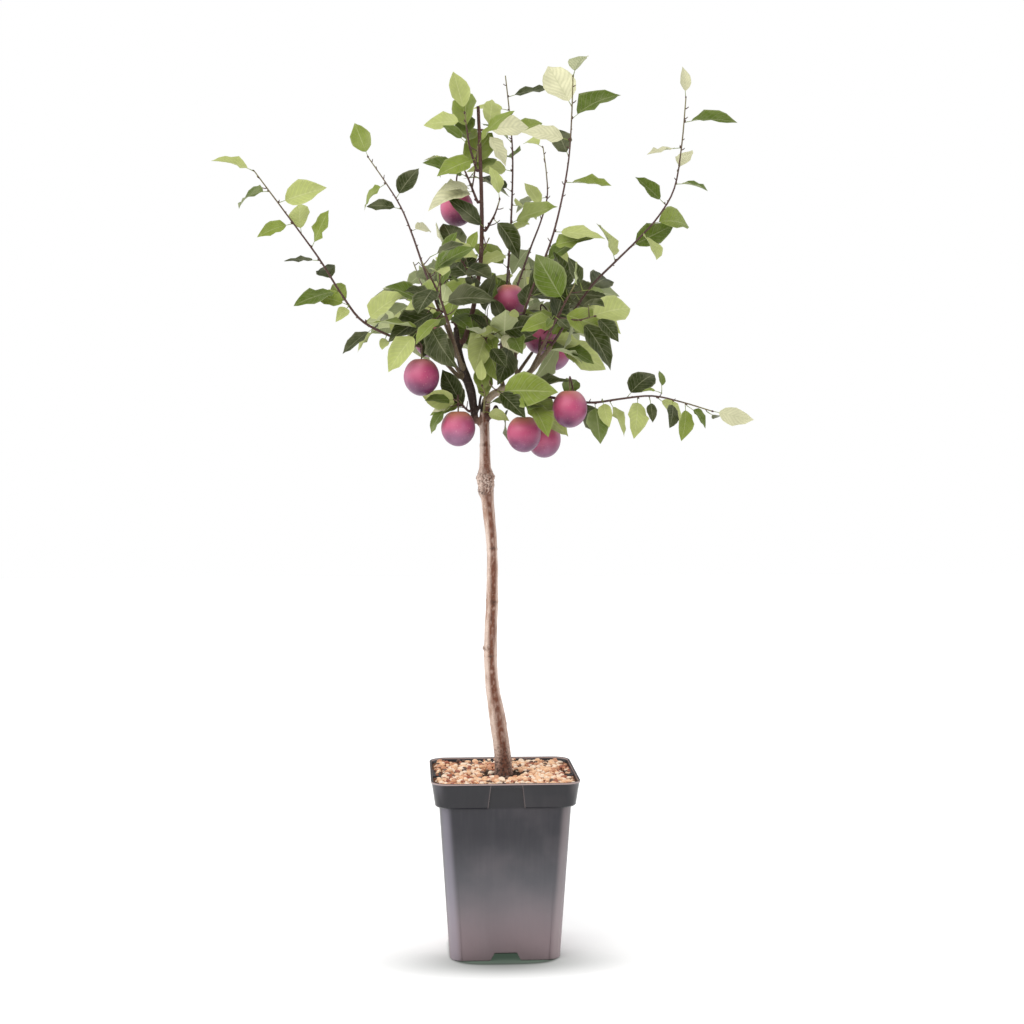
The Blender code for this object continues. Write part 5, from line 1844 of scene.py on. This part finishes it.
class PLUM_OT_plums(bpy.types.Operator):
    """Hangs each plum at its place in the masses"""

    bl_idname = "plum_tree.plums"
    bl_label = "Plums"

    def execute(self, context):
        looks = context.scene.plum_fruit
        points, faces, places = plum_shape()
        dice = random.Random(5)
        heap = Heap()
        for mass in MASSES:
            for centre in mass.plums:
                turn = Matrix.Rotation(dice.uniform(0, FULL_TURN), 3, "Z")
                size = dice.uniform(0.95, 1.0)
                turned = points @ np.array(turn).T
                # How far each point faces the painted lit side, the same way round for every plum
                places[:, 0] = turned @ np.array(LIGHTED_SIDE.normalized()) / PLUM_RADIUS / 2 + 0.5
                heap.add(turned * size + np.array(centre), faces, 0, places.copy())
        heap.piece("plums", "foliage", [plum_skin(looks)])
        return {"FINISHED"}


# Stage


class Air(Finish):
    """The world's light, built up node by node as a finish is."""

    def __init__(self, name):
        self.world = bpy.data.worlds.new(name)
        self.world.use_nodes = True
        self.tree = self.world.node_tree
        self.shader = self.tree.nodes["Background"]


def studio_air(looks):
    """A white room: bright at both sides and overhead, and dimmer where the camera stands."""
    air = Air("studio")
    heading = air.node("ShaderNodeTexCoord", output="Generated")
    across, up = [air.node("ShaderNodeSeparateXYZ", values=(heading,), output=index) for index in (0, 2)]
    light = looks.ambient + abs(across).between(0.30, 0.90) * looks.sides + up.between(0.20, 0.95) * looks.overhead
    camera = air.node("ShaderNodeLightPath", output="Is Camera Ray")
    air.set("Strength", light + camera * (1.0 - light))
    air.set("Color", (1.0, 1.0, 1.0))
    return air.world


# How far the soft shade in front of the pot reaches across and to the front and back
SHADE_REACH = (0.135, 0.062)


def pale_floor(looks, foot):
    """A plain pale floor that glows a little, with a painted contact shadow round the pot's foot, a painted soft
    shadow in front of the pot, and a painted glow under the pot that shows through its notches.
    """
    finish = Finish("floor", looks.floor, 0.9)
    place = finish.node("ShaderNodeTexCoord", output="Object")
    x, y = [finish.node("ShaderNodeSeparateXYZ", values=(place,), output=index) for index in (0, 1)]
    wide = x * 1.06
    near = y + foot * 0.16
    corner = wide * wide * wide * wide + near * near * near * near
    away = corner.math("POWER", corner, 0.25)
    # Painted contact shadow, dark right round the foot; inside it the floor glows with the under-pot colour
    contact_shadow = 1.0 - away.between(foot * 1.00, foot * 1.12)
    across = x * (1.0 / SHADE_REACH[0])
    ahead = (y + foot * 1.06) * (1.0 / SHADE_REACH[1])
    square = across * across + ahead * ahead
    # Painted soft shadow, spread in front of the pot
    soft = square.math("POWER", math.exp(-1.0), square) * 0.78
    colour = finish.mix(soft, looks.floor, looks.contact_shadow)
    finish.set("Base Color", finish.mix(contact_shadow * 0.85, colour, looks.contact_shadow))
    # A painted glow under the pot that shows through its notches, darker near the foot's edge
    under = away.between(foot * 0.95, foot * 1.02)
    shaded = finish.mix(under, looks.under_pot, blend(looks.under_pot, (0.0, 0.0, 0.0), 0.75))
    # The floor's glow, dimmed by the painted soft shadow
    lit = finish.mix(soft, (1.0, 1.0, 1.0), looks.contact_shadow)
    finish.set("Emission Color", finish.mix(contact_shadow, lit, shaded))
    finish.set("Emission Strength", looks.glow)
    return finish.material


def area_light(name, place, target, size, power, colour):
    heading = Vector(target) - Vector(place)
    bpy.ops.object.light_add(
        type="AREA", location=place, rotation=heading.to_track_quat("-Z", "Y").to_euler()
    )
    light = bpy.context.object
    light.name = name
    light.data.size = size
    light.data.energy = power
    light.data.color = colour


class PLUM_OT_stage(bpy.types.Operator):
    """Sets the plain floor, the soft light and the camera"""

    bl_idname = "plum_tree.stage"
    bl_label = "Stage"

    def execute(self, context):
        looks = context.scene.plum_stage
        floor = fresh_primitive(bpy.ops.mesh.primitive_plane_add, "floor", size=14.0)
        floor.data.materials.append(pale_floor(looks, context.scene.plum_pot.foot / 2))
        context.scene.world = studio_air(looks)
        middle = (0.0, 0.0, 0.75)
        area_light("key", (-1.3, -2.2, 3.0), middle, 3.2, looks.key, (1.0, 0.985, 0.96))
        bearing = math.radians(-3.1492)
        bpy.ops.object.camera_add(
            location=(
                looks.camera_distance * math.sin(bearing),
                -looks.camera_distance * math.cos(bearing),
                looks.camera_height,
            ),
            rotation=(math.radians(87.9684), 0.0, math.radians(-3.4623)),
        )
        camera = context.object
        camera.name = "camera"
        camera.data.sensor_width = 36.0
        camera.data.lens = looks.lens
        context.scene.camera = camera
        context.scene.view_settings.view_transform = "Standard"
        return {"FINISHED"}


class PLUM_PT_sidebar(bpy.types.Panel):
    """The steps that dress the tree"""

    bl_idname = "PLUM_PT_sidebar"
    bl_label = "Plum Tree"
    bl_space_type = "VIEW_3D"
    bl_region_type = "UI"
    bl_category = "Plum Tree"

    def draw(self, context):
        for step in STEPS:
            self.layout.operator(step.bl_idname)
        for name, group in LOOKS.items():
            box = self.layout.box()
            box.label(text=group.__doc__)
            for key in group.__annotations__:
                box.prop(getattr(context.scene, name), key)


STEPS = (
    PLUM_OT_pot, PLUM_OT_soil, PLUM_OT_stones, PLUM_OT_bark, PLUM_OT_twigs, PLUM_OT_leaves, PLUM_OT_plums,
    PLUM_OT_stage,
)


def register():
    for item in (*LOOKS.values(), *STEPS, PLUM_PT_sidebar):
        bpy.utils.register_class(item)
    for name, group in LOOKS.items():
        setattr(bpy.types.Scene, name, bpy.props.PointerProperty(type=group))


def unregister():
    for name in LOOKS:
        delattr(bpy.types.Scene, name)
    for item in reversed((*LOOKS.values(), *STEPS, PLUM_PT_sidebar)):
        bpy.utils.unregister_class(item)


def main():
    register()
    for step in STEPS:
        group, name = step.bl_idname.split(".")
        getattr(getattr(bpy.ops, group), name)()


if __name__ == "__main__":
    main()
